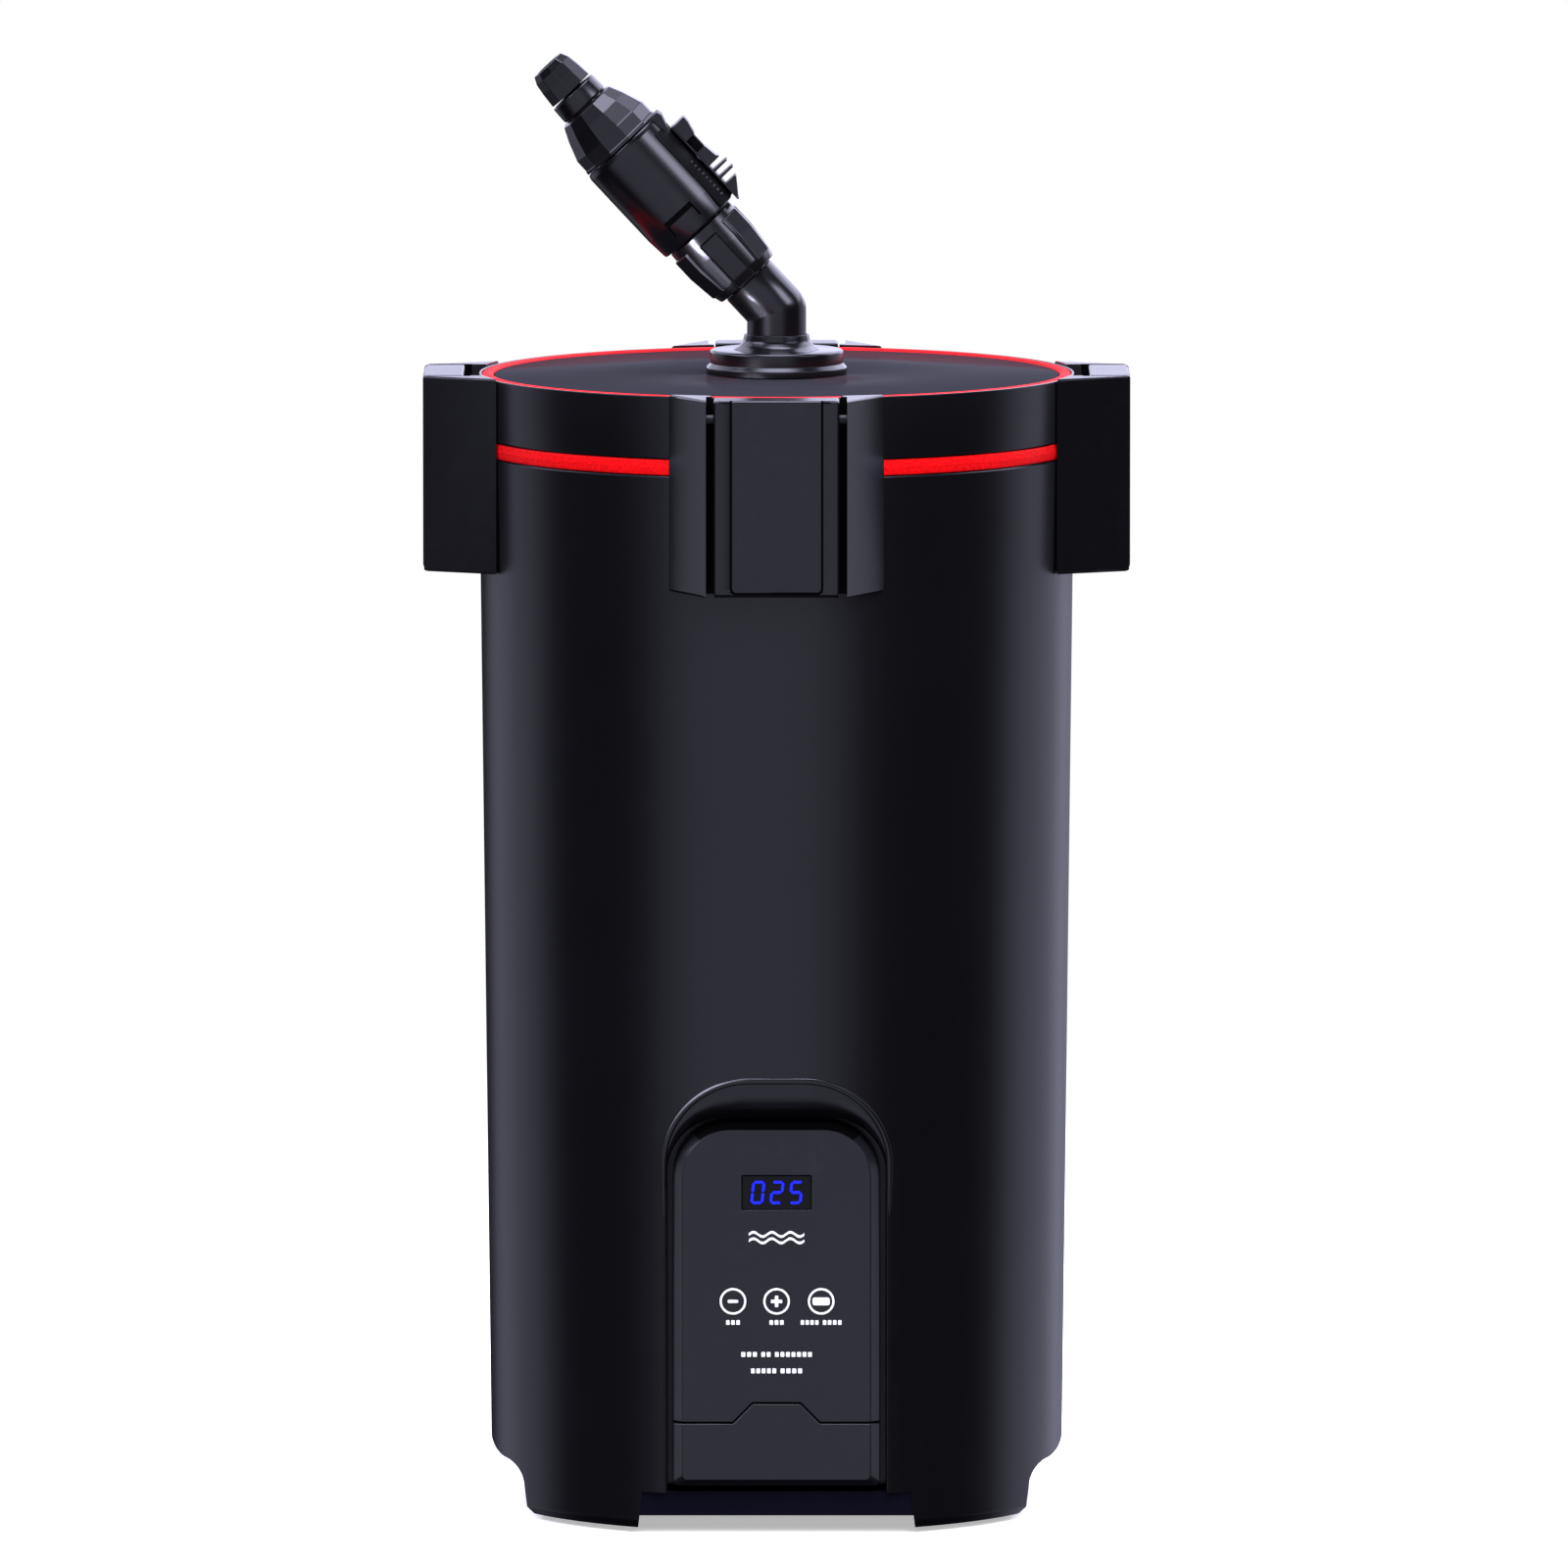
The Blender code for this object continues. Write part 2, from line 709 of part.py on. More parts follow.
def make_connection():
    swivel = empty("elbow_axis", (0, 0, BEND_Z))
    elbow = pipe("port_elbow", [(0, 0, 0.4490), (0, 0, BEND_Z), along(0.0170)], PIPE_RADIUS, 6)
    join(
        elbow,
        rod("elbow_flange", 0.0146, (0, 0, 0.4489), (0, 0, 0.4520)),
        rod("elbow_stub", 0.0090, along(0.0100), along(0.0240), 24),
    )
    cut(elbow, pipe("elbow_bore", [(0, 0, 0.4400), (0, 0, BEND_Z), along(0.0350)], 0.0066, 4))
    finish(elbow, CHARCOAL, swivel, 0.3)

    frame = empty("tap_frame", (0, 0, BEND_Z), (0, -TILT, 0), None)
    pieces = {}

    socket = turned(
        "coupling_socket",
        [
            (0.0093, 0.0457),
            (0.0152, 0.0457),
            (0.0160, 0.0449),
            (0.0160, 0.0340),
            (0.0122, 0.0205),
            (0.0113, 0.0175),
            (0.0093, 0.0175),
        ],
        24,
    )
    pocket = [(-0.02, 0.0434), (-0.02, 0.0256), (-0.0100, 0.0256), (-0.0108, 0.0340), (-0.0108, 0.0434)]
    cut(socket, plate("tab_pocket", pocket, -0.0048, 0.0048, "YZ"))
    pieces["coupling_socket"] = (socket, CHARCOAL, [socket.modifiers[-1].object])

    tab_outline = [(-0.0157, 0.0431), (-0.0157, 0.0345), (-0.0134, 0.0259), (-0.0117, 0.0259), (-0.0126, 0.0345), (-0.0126, 0.0431)]
    pieces["release_tab"] = (plate("release_tab", tab_outline, -0.0045, 0.0045, "YZ"), CHARCOAL, [])

    body = turned(
        "tap_body",
        [
            (0.0130, 0.0920),
            (0.0180, 0.0920),
            (0.01875, 0.0912),
            (0.01875, 0.0555),
            (0.0178, 0.0545),
            (0.0178, 0.0460),
            (0.0090, 0.0460),
            (0.0090, 0.0262),
            (0.0064, 0.0262),
            (0.0064, 0.0540),
            (0.0130, 0.0540),
        ],
        28,
    )
    stem_hole = rod("stem_hole", 0.0031, (0.010, 0, BALL_AT), (0.025, 0, BALL_AT), 20)
    cut(body, stem_hole)
    pieces["tap_body"] = (body, CHARCOAL, [stem_hole])

    tail = turned(
        "hose_tail",
        [
            (0.0055, 0.1330),
            (0.0075, 0.1330),
            (0.0092, 0.1200),
            (0.0098, 0.1195),
            (0.0098, 0.1145),
            (0.0080, 0.1140),
            (0.0080, 0.0920),
            (0.0127, 0.0918),
            (0.0127, 0.0805),
            (0.0055, 0.0805),
        ],
        24,
    )
    pieces["hose_tail"] = (tail, CHARCOAL, [])

    nut = turned(
        "hose_nut",
        [
            (0.0088, 0.1136),
            (0.0104, 0.1136),
            (0.0166, 0.0990),
            (0.0176, 0.0980),
            (0.0176, 0.0924),
            (0.0138, 0.0924),
            (0.0088, 0.1080),
        ],
        12,
    )
    pieces["hose_nut"] = (nut, CHARCOAL, [])

    ball = turned("tap_ball", ball_profile(0.0126, 0.0066), 20)
    stem_slot = block("stem_slot", (0.0112, -0.0016, BALL_AT - 0.005), (0.02, 0.0016, BALL_AT + 0.005))
    cut(ball, stem_slot)
    pieces["tap_ball"] = (ball, (0.4, 0.4, 0.4), [stem_slot])

    lever = block("tap_lever", (0.0193, -0.0060, 0.0410), (0.0222, 0.0060, 0.0900))
    soften(lever, 0.0008, 1)
    extras = [
        rod("lever_stem", 0.0028, (0.0130, 0, BALL_AT), (0.0200, 0, BALL_AT), 20),
        block("lever_fin", (0.0215, -0.0050, 0.0860), (0.0267, 0.0050, 0.0895)),
        block("lever_knob", (0.0215, -0.0055, 0.0740), (0.0262, 0.0055, 0.0830)),
        block("lever_wedge", (0.0215, -0.0055, 0.0415), (0.0245, 0.0055, 0.0455)),
    ]
    extras += [
        block(f"lever_rib_{i}", (0.0215, -0.0055, 0.0490 + 0.0050 * i), (0.0262, 0.0055, 0.0515 + 0.0050 * i))
        for i in range(3)
    ]
    join(lever, *extras)
    pieces["tap_lever"] = (lever, CHARCOAL, extras)

    axes = {
        "coupling_socket": swivel,
        "release_tab": empty("tab_axis", along(0.0345), (0, -TILT, 0), None),
        "tap_body": empty("coupling_axis", along(0.0460), (0, -TILT, 0), None),
        "tap_lever": empty("tap_axis", along(BALL_AT), (0, -TILT, 0), None),
        "hose_nut": empty("nut_axis", along(0.0990), (0, -TILT, 0), None),
    }
    axes["hose_tail"] = axes["tap_body"]
    axes["tap_ball"] = axes["tap_lever"]
    bpy.context.view_layer.update()
    for name, (obj, colour, tools) in pieces.items():
        for piece in (obj, *tools):
            piece.matrix_world = frame.matrix_world.copy()
        finish(obj, colour, axes[name], 0.3)


def ball_profile(radius, bore, steps=6):
    """A ring: the ball's outside from top to bottom, closed by its bore."""
    reach = math.acos(bore / radius)
    points = []
    for i in range(steps + 1):
        angle = reach - 2 * reach * i / steps
        points.append((radius * math.cos(angle), BALL_AT + radius * math.sin(angle)))
    return points


# ---------------------------------------------------------------- controller


def tab_outline(raise_by=0.0, bottom=0.0):
    """The lower cover's outline: a straight upper edge with a raised tab at its middle."""
    z, tab = PARTING_Z + raise_by, 0.0542 + raise_by
    return [(-0.06, bottom), (0.06, bottom), (0.06, z), (0.0176, z), (0.0097, tab), (-0.0097, tab), (-0.0176, z), (-0.06, z)]


def controller_shell(name):
    """The front casing with its bevelled face, hollow and open at the back."""
    outer = (0.0419, 0.1680, 0.0230)
    face = (0.0377, 0.1653, 0.0190)
    shell = loft(
        name,
        [
            arch(*face, 0.0230, CONTROLLER_FACE_Y),
            arch(*outer, CONTROLLER_BOTTOM_Z, CONTROLLER_SHOULDER_Y),
            arch(*outer, CONTROLLER_BOTTOM_Z, -0.0958),
        ],
    )
    hollow = loft(
        f"{name}_hollow",
        [
            arch(0.0370, 0.1625, 0.0180, 0.0260, CONTROLLER_FACE_Y + 0.0022),
            arch(0.0392, 0.1653, 0.0203, 0.0230, CONTROLLER_SHOULDER_Y + 0.0022),
            arch(0.0392, 0.1653, 0.0203, 0.0230, -0.09),
        ],
    )
    return cut(shell, hollow)


def make_controller():
    axis = empty("controller_axis", (0, -0.1110, CONTROLLER_BOTTOM_Z + 0.0007))
    cover = controller_shell("controller_cover")
    cut(
        cover,
        plate("cover_split", tab_outline(GAP), -0.13, -0.08, "XZ"),
        block("window_hole", (-0.0141, -0.12, 0.1331), (0.0141, -0.10, 0.1472)),
    )
    for name, x in BUTTONS:
        cut(cover, rod(f"{name}_hole", 0.0056, (x, -0.12, BUTTON_Z), (x, -0.10, BUTTON_Z), 20))
    finish(cover, (0.025, 0.027, 0.036), axis, 0.4)

    foot = controller_shell("controller_lower_cover")
    common(foot, plate("lower_split", tab_outline(), -0.13, -0.08, "XZ"))
    finish(foot, (0.025, 0.027, 0.036), axis, 0.4)

    back = loft(
        "controller_back",
        [
            arch(0.0419, 0.1680, 0.0230, CONTROLLER_BOTTOM_Z, -0.0955),
            arch(0.0419, 0.1680, 0.0230, CONTROLLER_BOTTOM_Z, CONTROLLER_BACK_Y),
        ],
    )
    finish(back, DARK, axis)
    window = block("display_window", (-0.01375, -0.1118, 0.1334), (0.01375, -0.1075, 0.1469))
    finish(window, (0.006, 0.006, 0.008), axis, 0.1)
    board = block("circuit_board", (-0.034, -0.1042, 0.0600), (0.034, -0.1026, 0.1560))
    finish(board, (0.01, 0.10, 0.03), axis, 0.5)
    for name, x in BUTTONS:
        button = turned(
            name,
            [(0, 0.0060), (0.0049, 0.0060), (0.0053, 0.0056), (0.0053, 0.0010), (0.0020, 0.0010), (0.0020, -0.0012), (0, -0.0012)],
            16,
            ring=False,
        )
        slide = empty(f"{name}_axis", (x, -0.1062, BUTTON_Z), (math.pi / 2, 0, 0))
        bpy.context.view_layer.update()
        button.matrix_world = slide.matrix_world.copy()
        finish(button, (0.025, 0.027, 0.036), slide, 0.4)
    dock = block("controller_dock", (-0.022, -0.0897, 0.0300), (0.022, -0.0863, 0.0560))
    finish(soften(dock, 0.0006), DARK)


# ---------------------------------------------------------------- baskets and media


def make_basket(index, name):
    low = BASKET_FLOOR_Z + BASKET_PITCH * index
    high = low + BASKET_HEIGHT
    axis = empty(f"basket_{name}_axis", (0, 0, low))
    cup = [
        (0, low + 0.0025),
        (BASKET_RADIUS - 0.0045, low + 0.0025),
        (BASKET_RADIUS - 0.0030, high),
        (BASKET_RADIUS + 0.0008, high),
        (BASKET_RADIUS + 0.0008, high - 0.0030),
        (BASKET_RADIUS, high - 0.0034),
        (BASKET_RADIUS - 0.0020, low),
        (0, low),
    ]
    basket = turned(f"basket_{name}", cup, 40, ring=False)
    for i in range(12):
        slot = block(f"{name}_slot_{i}", (0.028, -0.0035, low - 0.01), (0.100, 0.0035, low + 0.01))
        slot.rotation_euler.z = math.radians(30 * i)
        cut(basket, slot)
    finish(basket, (0.02, 0.02, 0.022), axis, 0.5)
    return axis, low, high


def make_baskets():
    fills = {
        "lower": ("media_ceramic", 0.0520, (0.55, 0.45, 0.35)),
        "middle": ("media_coarse_sponge", 0.0500, (0.015, 0.03, 0.09)),
        "upper": ("media_fine_pad", 0.0300, WHITE),
    }
    for index, name in enumerate(BASKETS):
        axis, low, high = make_basket(index, name)
        node, depth, colour = fills[name]
        media = rod(node, BASKET_RADIUS - 0.0052, (0, 0, low + 0.0030), (0, 0, low + 0.0030 + depth), 40)
        finish(media, colour, axis, 0.9)
    pivot_z = high - 0.0080
    hinge = empty("handle_axis", (0, 0, pivot_z))
    reach, width = 0.055, BASKET_RADIUS - 0.0060
    path = [(width * math.cos(math.radians(a)), reach * math.sin(math.radians(a)), pivot_z) for a in range(0, 181, 15)]
    finish(pipe("basket_handle", path, 0.0022, 2), RED, hinge, 0.45)


# ---------------------------------------------------------------- assembly

clear_scene()
PARTS = new_collection(OBJECT_NAME)
TOOLS = new_collection("cutters")

make_barrel()
make_base()
make_pump()
make_outlet()
make_latches(make_lid())
make_connection()
make_controller()
make_baskets()
bpy.context.view_layer.update()
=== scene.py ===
"""Looks of the canister filter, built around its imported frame.

Metres, +Z up, front at -Y. Sizes come from the frame's nodes and from the few driving values below.
"""

import json
import math
import random

import bmesh
import bpy
from mathutils import Matrix, Vector, noise

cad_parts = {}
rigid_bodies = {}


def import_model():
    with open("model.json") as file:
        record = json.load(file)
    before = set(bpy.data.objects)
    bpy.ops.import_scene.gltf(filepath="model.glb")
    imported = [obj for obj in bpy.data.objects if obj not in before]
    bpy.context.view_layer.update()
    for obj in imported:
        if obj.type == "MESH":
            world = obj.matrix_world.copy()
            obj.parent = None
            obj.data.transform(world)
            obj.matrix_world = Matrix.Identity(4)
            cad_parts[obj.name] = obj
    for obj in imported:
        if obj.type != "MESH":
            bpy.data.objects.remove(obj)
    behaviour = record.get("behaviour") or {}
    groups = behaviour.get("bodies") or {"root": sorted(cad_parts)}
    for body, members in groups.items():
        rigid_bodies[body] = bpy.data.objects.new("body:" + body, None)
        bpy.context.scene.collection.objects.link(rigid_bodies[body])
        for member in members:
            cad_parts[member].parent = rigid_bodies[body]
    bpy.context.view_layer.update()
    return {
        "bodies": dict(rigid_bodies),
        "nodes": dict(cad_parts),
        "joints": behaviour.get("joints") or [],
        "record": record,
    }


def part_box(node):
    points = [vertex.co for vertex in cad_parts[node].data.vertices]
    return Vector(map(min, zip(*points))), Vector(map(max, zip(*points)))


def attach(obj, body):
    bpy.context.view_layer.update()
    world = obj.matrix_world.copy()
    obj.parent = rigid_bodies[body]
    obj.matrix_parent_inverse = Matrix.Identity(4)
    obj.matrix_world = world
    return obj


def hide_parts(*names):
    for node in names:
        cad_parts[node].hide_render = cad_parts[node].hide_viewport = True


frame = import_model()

NODES = frame["nodes"]

# ---------------------------------------------------------------- driving values

RIM_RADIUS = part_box("lid_shell")[1].x
BARREL_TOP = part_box("barrel")[1].z
SKIRT_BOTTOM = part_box("barrel")[0].z
LID_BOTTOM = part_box("rim_seal")[1].z + 0.0003
LID_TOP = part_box("lid_shell")[1].z
LID_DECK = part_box("lid_panel")[0].z - 0.0003
DRAFT = 0.01117
WALL = 0.003
FLOOR_TOP, FLOOR_BOTTOM = 0.194, 0.19
SKIRT_LIFT = 0.0014
STEPS = 192  # sides of the largest turned pieces

# The recess for the controller: half width, top and corner radius at the surface and at its inner edge
POCKET, POCKET_INNER, POCKET_BOTTOM = (0.0452, 0.1853, 0.0345), (0.0442, 0.1701, 0.0229), 0.016
POCKET_LIP_Y, POCKET_BACK_Y = -0.1066, -0.086

TRIM_INNER, TRIM_OUTER = 0.1152, 0.1197
PLUG_RADIUS, LID_FOOT, LID_CEILING = 0.1174, 0.4245, 0.4555

LATCH_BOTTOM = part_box("latch_lever_front")[0].z
LATCH_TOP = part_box("latch_lever_front")[1].z
LATCH_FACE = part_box("latch_lever_front")[0].y
LEVER_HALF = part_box("latch_lever_front")[1].x
LINE_HALF, LINE_DEPTH = 0.0188, 0.0014  # the thin line round the lever's centre panel
PIN_BORE = 0.0023
PIN = Vector((0, -0.133, 0.455))
SIDES = (("front", 0), ("right", 90), ("back", 180), ("left", 270))

BEND_Z = 0.488  # where the hose connection leaves the vertical
TILT = math.radians(43)
TAP = Matrix.Translation((0, 0, BEND_Z)) @ Matrix.Rotation(-TILT, 4, "Y")
PIPE_RADIUS = 0.012
BALL_AT = 0.067  # along the tilted axis
TAP_RADIUS = 0.019

FACE_Y = -0.112
SHOULDER_Y = -0.108
CASE_BOTTOM = 0.0203
PARTING = 0.0462
BUTTON_Z = 0.096
BUTTONS = {"button_minus": "minus_button", "button_plus": "plus_button", "button_mode": "mode_button"}
OUTLET_Y, OUTLET_Z = 0.131, 0.168
CORD_Z = 0.04


# ---------------------------------------------------------------- outlines


def arc_corner(before, corner, after, radius, steps):
    """The points of the arc that rounds one corner of an outline."""
    corner = Vector(corner)
    to_before, to_after = Vector(before) - corner, Vector(after) - corner
    turn = to_before.angle(to_after, math.pi)
    if radius <= 0 or turn > math.radians(178):
        return [tuple(corner)]
    reach = min(radius / math.tan(turn / 2), 0.49 * min(to_before.length, to_after.length))
    radius = reach * math.tan(turn / 2)
    middle = (to_before.normalized() + to_after.normalized()).normalized()
    centre = corner + middle * (radius / math.sin(turn / 2))
    start = corner + to_before.normalized() * reach - centre
    end = corner + to_after.normalized() * reach - centre
    swing = start.angle_signed(end)
    points = []
    for i in range(steps + 1):
        spin = -swing * i / steps
        points.append(tuple(centre + Matrix.Rotation(spin, 2) @ start))
    return points


def rounded(points, radius=0.0005, steps=3, closed=True):
    """An outline with rounded corners. A point may carry its own radius as a third value."""
    made = []
    count = len(points)
    for i, point in enumerate(points):
        size = point[2] if len(point) > 2 else radius
        if not closed and i in (0, count - 1):
            size = 0
        before, after = points[i - 1], points[(i + 1) % count]
        made += arc_corner(before[:2], point[:2], after[:2], size, steps)
    return made


def arch(half, top, corner, bottom, steps=16):
    """A window outline in x and z with two rounded upper corners."""
    points = [(half, bottom)]
    for side, start in ((1, 0), (-1, 90)):
        for i in range(steps + 1):
            angle = math.radians(start + 90 * i / steps)
            x = side * (half - corner) + corner * math.cos(angle)
            points.append((x, top - corner + corner * math.sin(angle)))
    points.append((-half, bottom))
    return points


def circle(radius, centre=(0, 0), steps=32, start=0.0):
    return [
        (
            centre[0] + radius * math.cos(start + 2 * math.pi * i / steps),
            centre[1] + radius * math.sin(start + 2 * math.pi * i / steps),
        ) for i in range(steps)
    ]


# ---------------------------------------------------------------- solids


def link(name, mesh):
    obj = bpy.data.objects.new(name, mesh)
    bpy.context.scene.collection.objects.link(obj)
    return obj


def solid(name, bm):
    bmesh.ops.recalc_face_normals(bm, faces=bm.faces)
    mesh = bpy.data.meshes.new(name)
    bm.to_mesh(mesh)
    bm.free()
    return link(name, mesh)


def skin(name, rings, caps=True, loop=False):
    """A closed surface through rings of 3-D points that all have the same number of points."""
    bm = bmesh.new()
    rows = [[bm.verts.new(point) for point in ring] for ring in rings]
    pairs = list(zip(rows, rows[1:]))
    if loop:
        pairs.append((rows[-1], rows[0]))
    count = len(rows[0])
    for near, far in pairs:
        for i in range(count):
            j = (i + 1) % count
            bm.faces.new((near[i], near[j], far[j], far[i]))
    if caps and not loop:
        bm.faces.new(rows[0])
        bm.faces.new(rows[-1])
    return solid(name, bm)


def lathe(name, profile, steps=STEPS):
    """A ring turned from a closed profile of (radius, height). A point on the axis closes the solid."""
    rings = []
    for i in range(steps):
        angle = 2 * math.pi * i / steps
        rings.append([(r * math.cos(angle), r * math.sin(angle), z) for r, z in profile])
    obj = skin(name, rings, loop=True)
    if min(r for r, z in profile) < 1e-6:
        bm = bmesh.new()
        bm.from_mesh(obj.data)
        bmesh.ops.remove_doubles(bm, verts=bm.verts, dist=1e-6)
        bmesh.ops.dissolve_degenerate(bm, edges=bm.edges, dist=1e-7)
        bmesh.ops.recalc_face_normals(bm, faces=bm.faces)
        bm.to_mesh(obj.data)
        bm.free()
    return obj


def prism(name, outline, low, high, plane="XY"):
    """An outline with thickness along the axis its plane leaves free."""
    place = {
        "XY": lambda a, b, c: (a, b, c), "XZ": lambda a, b, c: (a, c, b), "YZ": lambda a, b, c: (c, a, b),
    }[plane]
    return skin(name, [[place(a, b, c) for a, b in outline] for c in (low, high)])


def block(name, low, high):
    low, high = Vector(low), Vector(high)
    bm = bmesh.new()
    place = Matrix.Translation((low + high) / 2) @ Matrix.Diagonal((*(high - low), 1))
    bmesh.ops.create_cube(bm, size=1, matrix=place)
    return solid(name, bm)


def rod(name, radius, start, end, steps=48):
    start, end = Vector(start), Vector(end)
    turn = (end - start).to_track_quat("Z", "Y").to_matrix().to_4x4()
    bm = bmesh.new()
    bmesh.ops.create_cone(
        bm, cap_ends=True, segments=steps, radius1=radius, radius2=radius, depth=(end - start).length,
        matrix=Matrix.Translation((start + end) / 2) @ turn,
    )
    return solid(name, bm)


def tube(name, path, radii, side, steps=48):
    """A round bar in the plane across side, along a path, with a radius for each point."""
    points = [Vector(p) for p in path]
    rings = []
    for i, point in enumerate(points):
        before, after = points[max(i - 1, 0)], points[min(i + 1, len(points) - 1)]
        along = (after - before).normalized()
        across = along.cross(Vector(side)).normalized()
        other = along.cross(across).normalized()
        rings.append(
            [tuple(point + radii[i] * (c * across + s * other)) for c, s in circle(1, steps=steps)]
        )
    return skin(name, rings)


def boolean(obj, operation, tools):
    for tool in tools:
        modifier = obj.modifiers.new(operation.lower(), "BOOLEAN")
        modifier.operation = operation
        modifier.object = tool
        modifier.solver = "MANIFOLD"
        tool.hide_render = True
    return obj


def cut(obj, *tools):
    return boolean(obj, "DIFFERENCE", tools)


def join(obj, *tools):
    return boolean(obj, "UNION", tools)


def common(obj, *tools):
    return boolean(obj, "INTERSECT", tools)


def mould(obj, angle=40):
    """Applies the modifiers and shades the result smooth up to an angle."""
    return smooth(bake(obj), angle)


def bake(obj):
    """Applies the modifiers and removes the Boolean tools."""
    bpy.context.view_layer.update()
    graph = bpy.context.evaluated_depsgraph_get()
    mesh = bpy.data.meshes.new_from_object(obj.evaluated_get(graph))
    tools = [m.object for m in obj.modifiers if m.type == "BOOLEAN"]
    obj.modifiers.clear()
    obj.data = mesh
    for tool in tools:
        bpy.data.objects.remove(tool, do_unlink=True)
    return obj


def soften(obj, width, segments=3, angle=30):
    """Rounds the sharp edges and keeps the flat faces flat."""
    bevel = obj.modifiers.new("edges", "BEVEL")
    bevel.width = width
    bevel.segments = segments
    bevel.limit_method = "ANGLE"
    bevel.angle_limit = math.radians(angle)
    bevel.miter_outer = "MITER_ARC"
    flat = obj.modifiers.new("flat", "WEIGHTED_NORMAL")
    flat.keep_sharp = True
    return obj


def smooth(obj, angle=35):
    obj.data.shade_smooth()
    if obj.data.polygons:
        obj.data.set_sharp_from_angle(angle=math.radians(angle))
    return obj


def place(obj, body, material, node=None, slot=None):
    """Gives the piece its material and body, and hides the CAD nodes it stands for."""
    obj.data.materials.clear()
    obj.data.materials.append(material)
    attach(obj, body)
    if node:
        nodes = [node] if isinstance(node, str) else node
        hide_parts(*nodes)
        slot = slot or SLOT_OF[nodes[0]]
    return obj


def paint_shade(obj, inside):
    """Paints shade: gives the faces whose centre passes the test flat black, the painted shade of an unlit
    gap.
    """
    obj.data.materials.append(PAINTED_SHADE_BLACK)
    for face in obj.data.polygons:
        if inside(face.center):
            face.material_index = 1
    return obj


SLOT_OF = {row["node"]: row["material_slot"] for row in frame["record"]["subparts"]}


# ---------------------------------------------------------------- materials


class Graph:
    """A short way to write a material's nodes."""

    def __init__(self, name):
        self.material = bpy.data.materials.new(name)
        self.material.use_nodes = True
        self.tree = self.material.node_tree
        self.shader = self.tree.nodes["Principled BSDF"]
        self.where = self.tree.nodes.new("ShaderNodeTexCoord").outputs["Object"]

    def set(self, socket, value):
        if isinstance(value, bpy.types.NodeSocket):
            self.tree.links.new(value, socket)
        elif isinstance(value, tuple) and len(value) == 3 and socket.type == "RGBA":
            socket.default_value = (*value, 1)
        else:
            socket.default_value = value

    def add(self, kind, settings=None, **inputs):
        node = self.tree.nodes.new(f"ShaderNode{kind}")
        for key, value in (settings or {}).items():
            setattr(node, key, value)
        for key, value in inputs.items():
            self.set(node.inputs[key.replace("_", " ")], value)
        return node

    def noise(self, scale, detail=3.0, vector=None, roughness=0.55):
        node = self.add("TexNoise", Scale=scale, Detail=detail, Roughness=roughness)
        self.set(node.inputs["Vector"], vector or self.where)
        return node.outputs["Fac"]

    def remap(self, value, low, high, to_low, to_high):
        return self.ranged(value, low, high, to_low, to_high, "LINEAR")

    def ranged(self, value, low, high, to_low, to_high, way):
        node = self.add("MapRange", {"interpolation_type": way}, Value=value)
        for key, number in (("From Min", low), ("From Max", high), ("To Min", to_low), ("To Max", to_high)):
            node.inputs[key].default_value = number
        return node.outputs["Result"]

    def math(self, operation, a, b=0.0):
        node = self.add("Math", {"operation": operation})
        self.set(node.inputs[0], a)
        self.set(node.inputs[1], b)
        return node.outputs[0]

    def mix(self, factor, a, b, way="MIX"):
        node = self.add("Mix", {"data_type": "RGBA", "blend_type": way})
        self.set(node.inputs["Factor"], factor)
        self.set(node.inputs[6], a)
        self.set(node.inputs[7], b)
        return node.outputs[2]

    def multiply(self, colour, shade):
        return self.mix(1.0, colour, shade, "MULTIPLY")

    def bump(self, height, strength, distance, normal=None):
        node = self.add("Bump", Height=height, Strength=strength, Distance=distance)
        if normal is not None:
            self.set(node.inputs["Normal"], normal)
        return node.outputs["Normal"]

    def out(self, **inputs):
        for key, value in inputs.items():
            self.set(self.shader.inputs[key.replace("_", " ")], value)
        return self.material


def lighter(colour, factor):
    return tuple(min(1.0, c * factor) for c in colour)


def moulded(name, colour, roughness=0.38, grain=0.1, wear=1.9, drift=0.12, specular=0.5):
    """Injection-moulded plastic: fine grain, faint smears, small colour drift, paler worn edges."""
    g = Graph(name)
    broad = g.noise(9.0, 2.0)
    colour_drift = g.mix(
        g.remap(broad, 0.3, 0.7, 0, 1), lighter(colour, 1 - drift), lighter(colour, 1 + drift),
    )
    edge = g.add("NewGeometry").outputs["Pointiness"]
    scuffs = g.remap(g.noise(160.0, 4.0), 0.45, 0.75, 0.0, 1.0)
    worn = g.math("MULTIPLY", g.remap(edge, 0.515, 0.6, 0.0, 1.0), scuffs)
    base = g.mix(worn, colour_drift, lighter(colour, wear))
    smear = g.remap(g.noise(26.0, 5.0, roughness=0.65), 0.3, 0.7, -0.01, 0.014)
    grained = g.bump(g.noise(2600.0, 2.0), grain, 0.0001)
    waved = g.bump(g.noise(45.0, 1.0), 0.006, 0.0006, grained)
    return g.out(
        Base_Color=base, Roughness=g.math("ADD", smear, roughness), Specular_IOR_Level=specular,
        Normal=waved,
    )


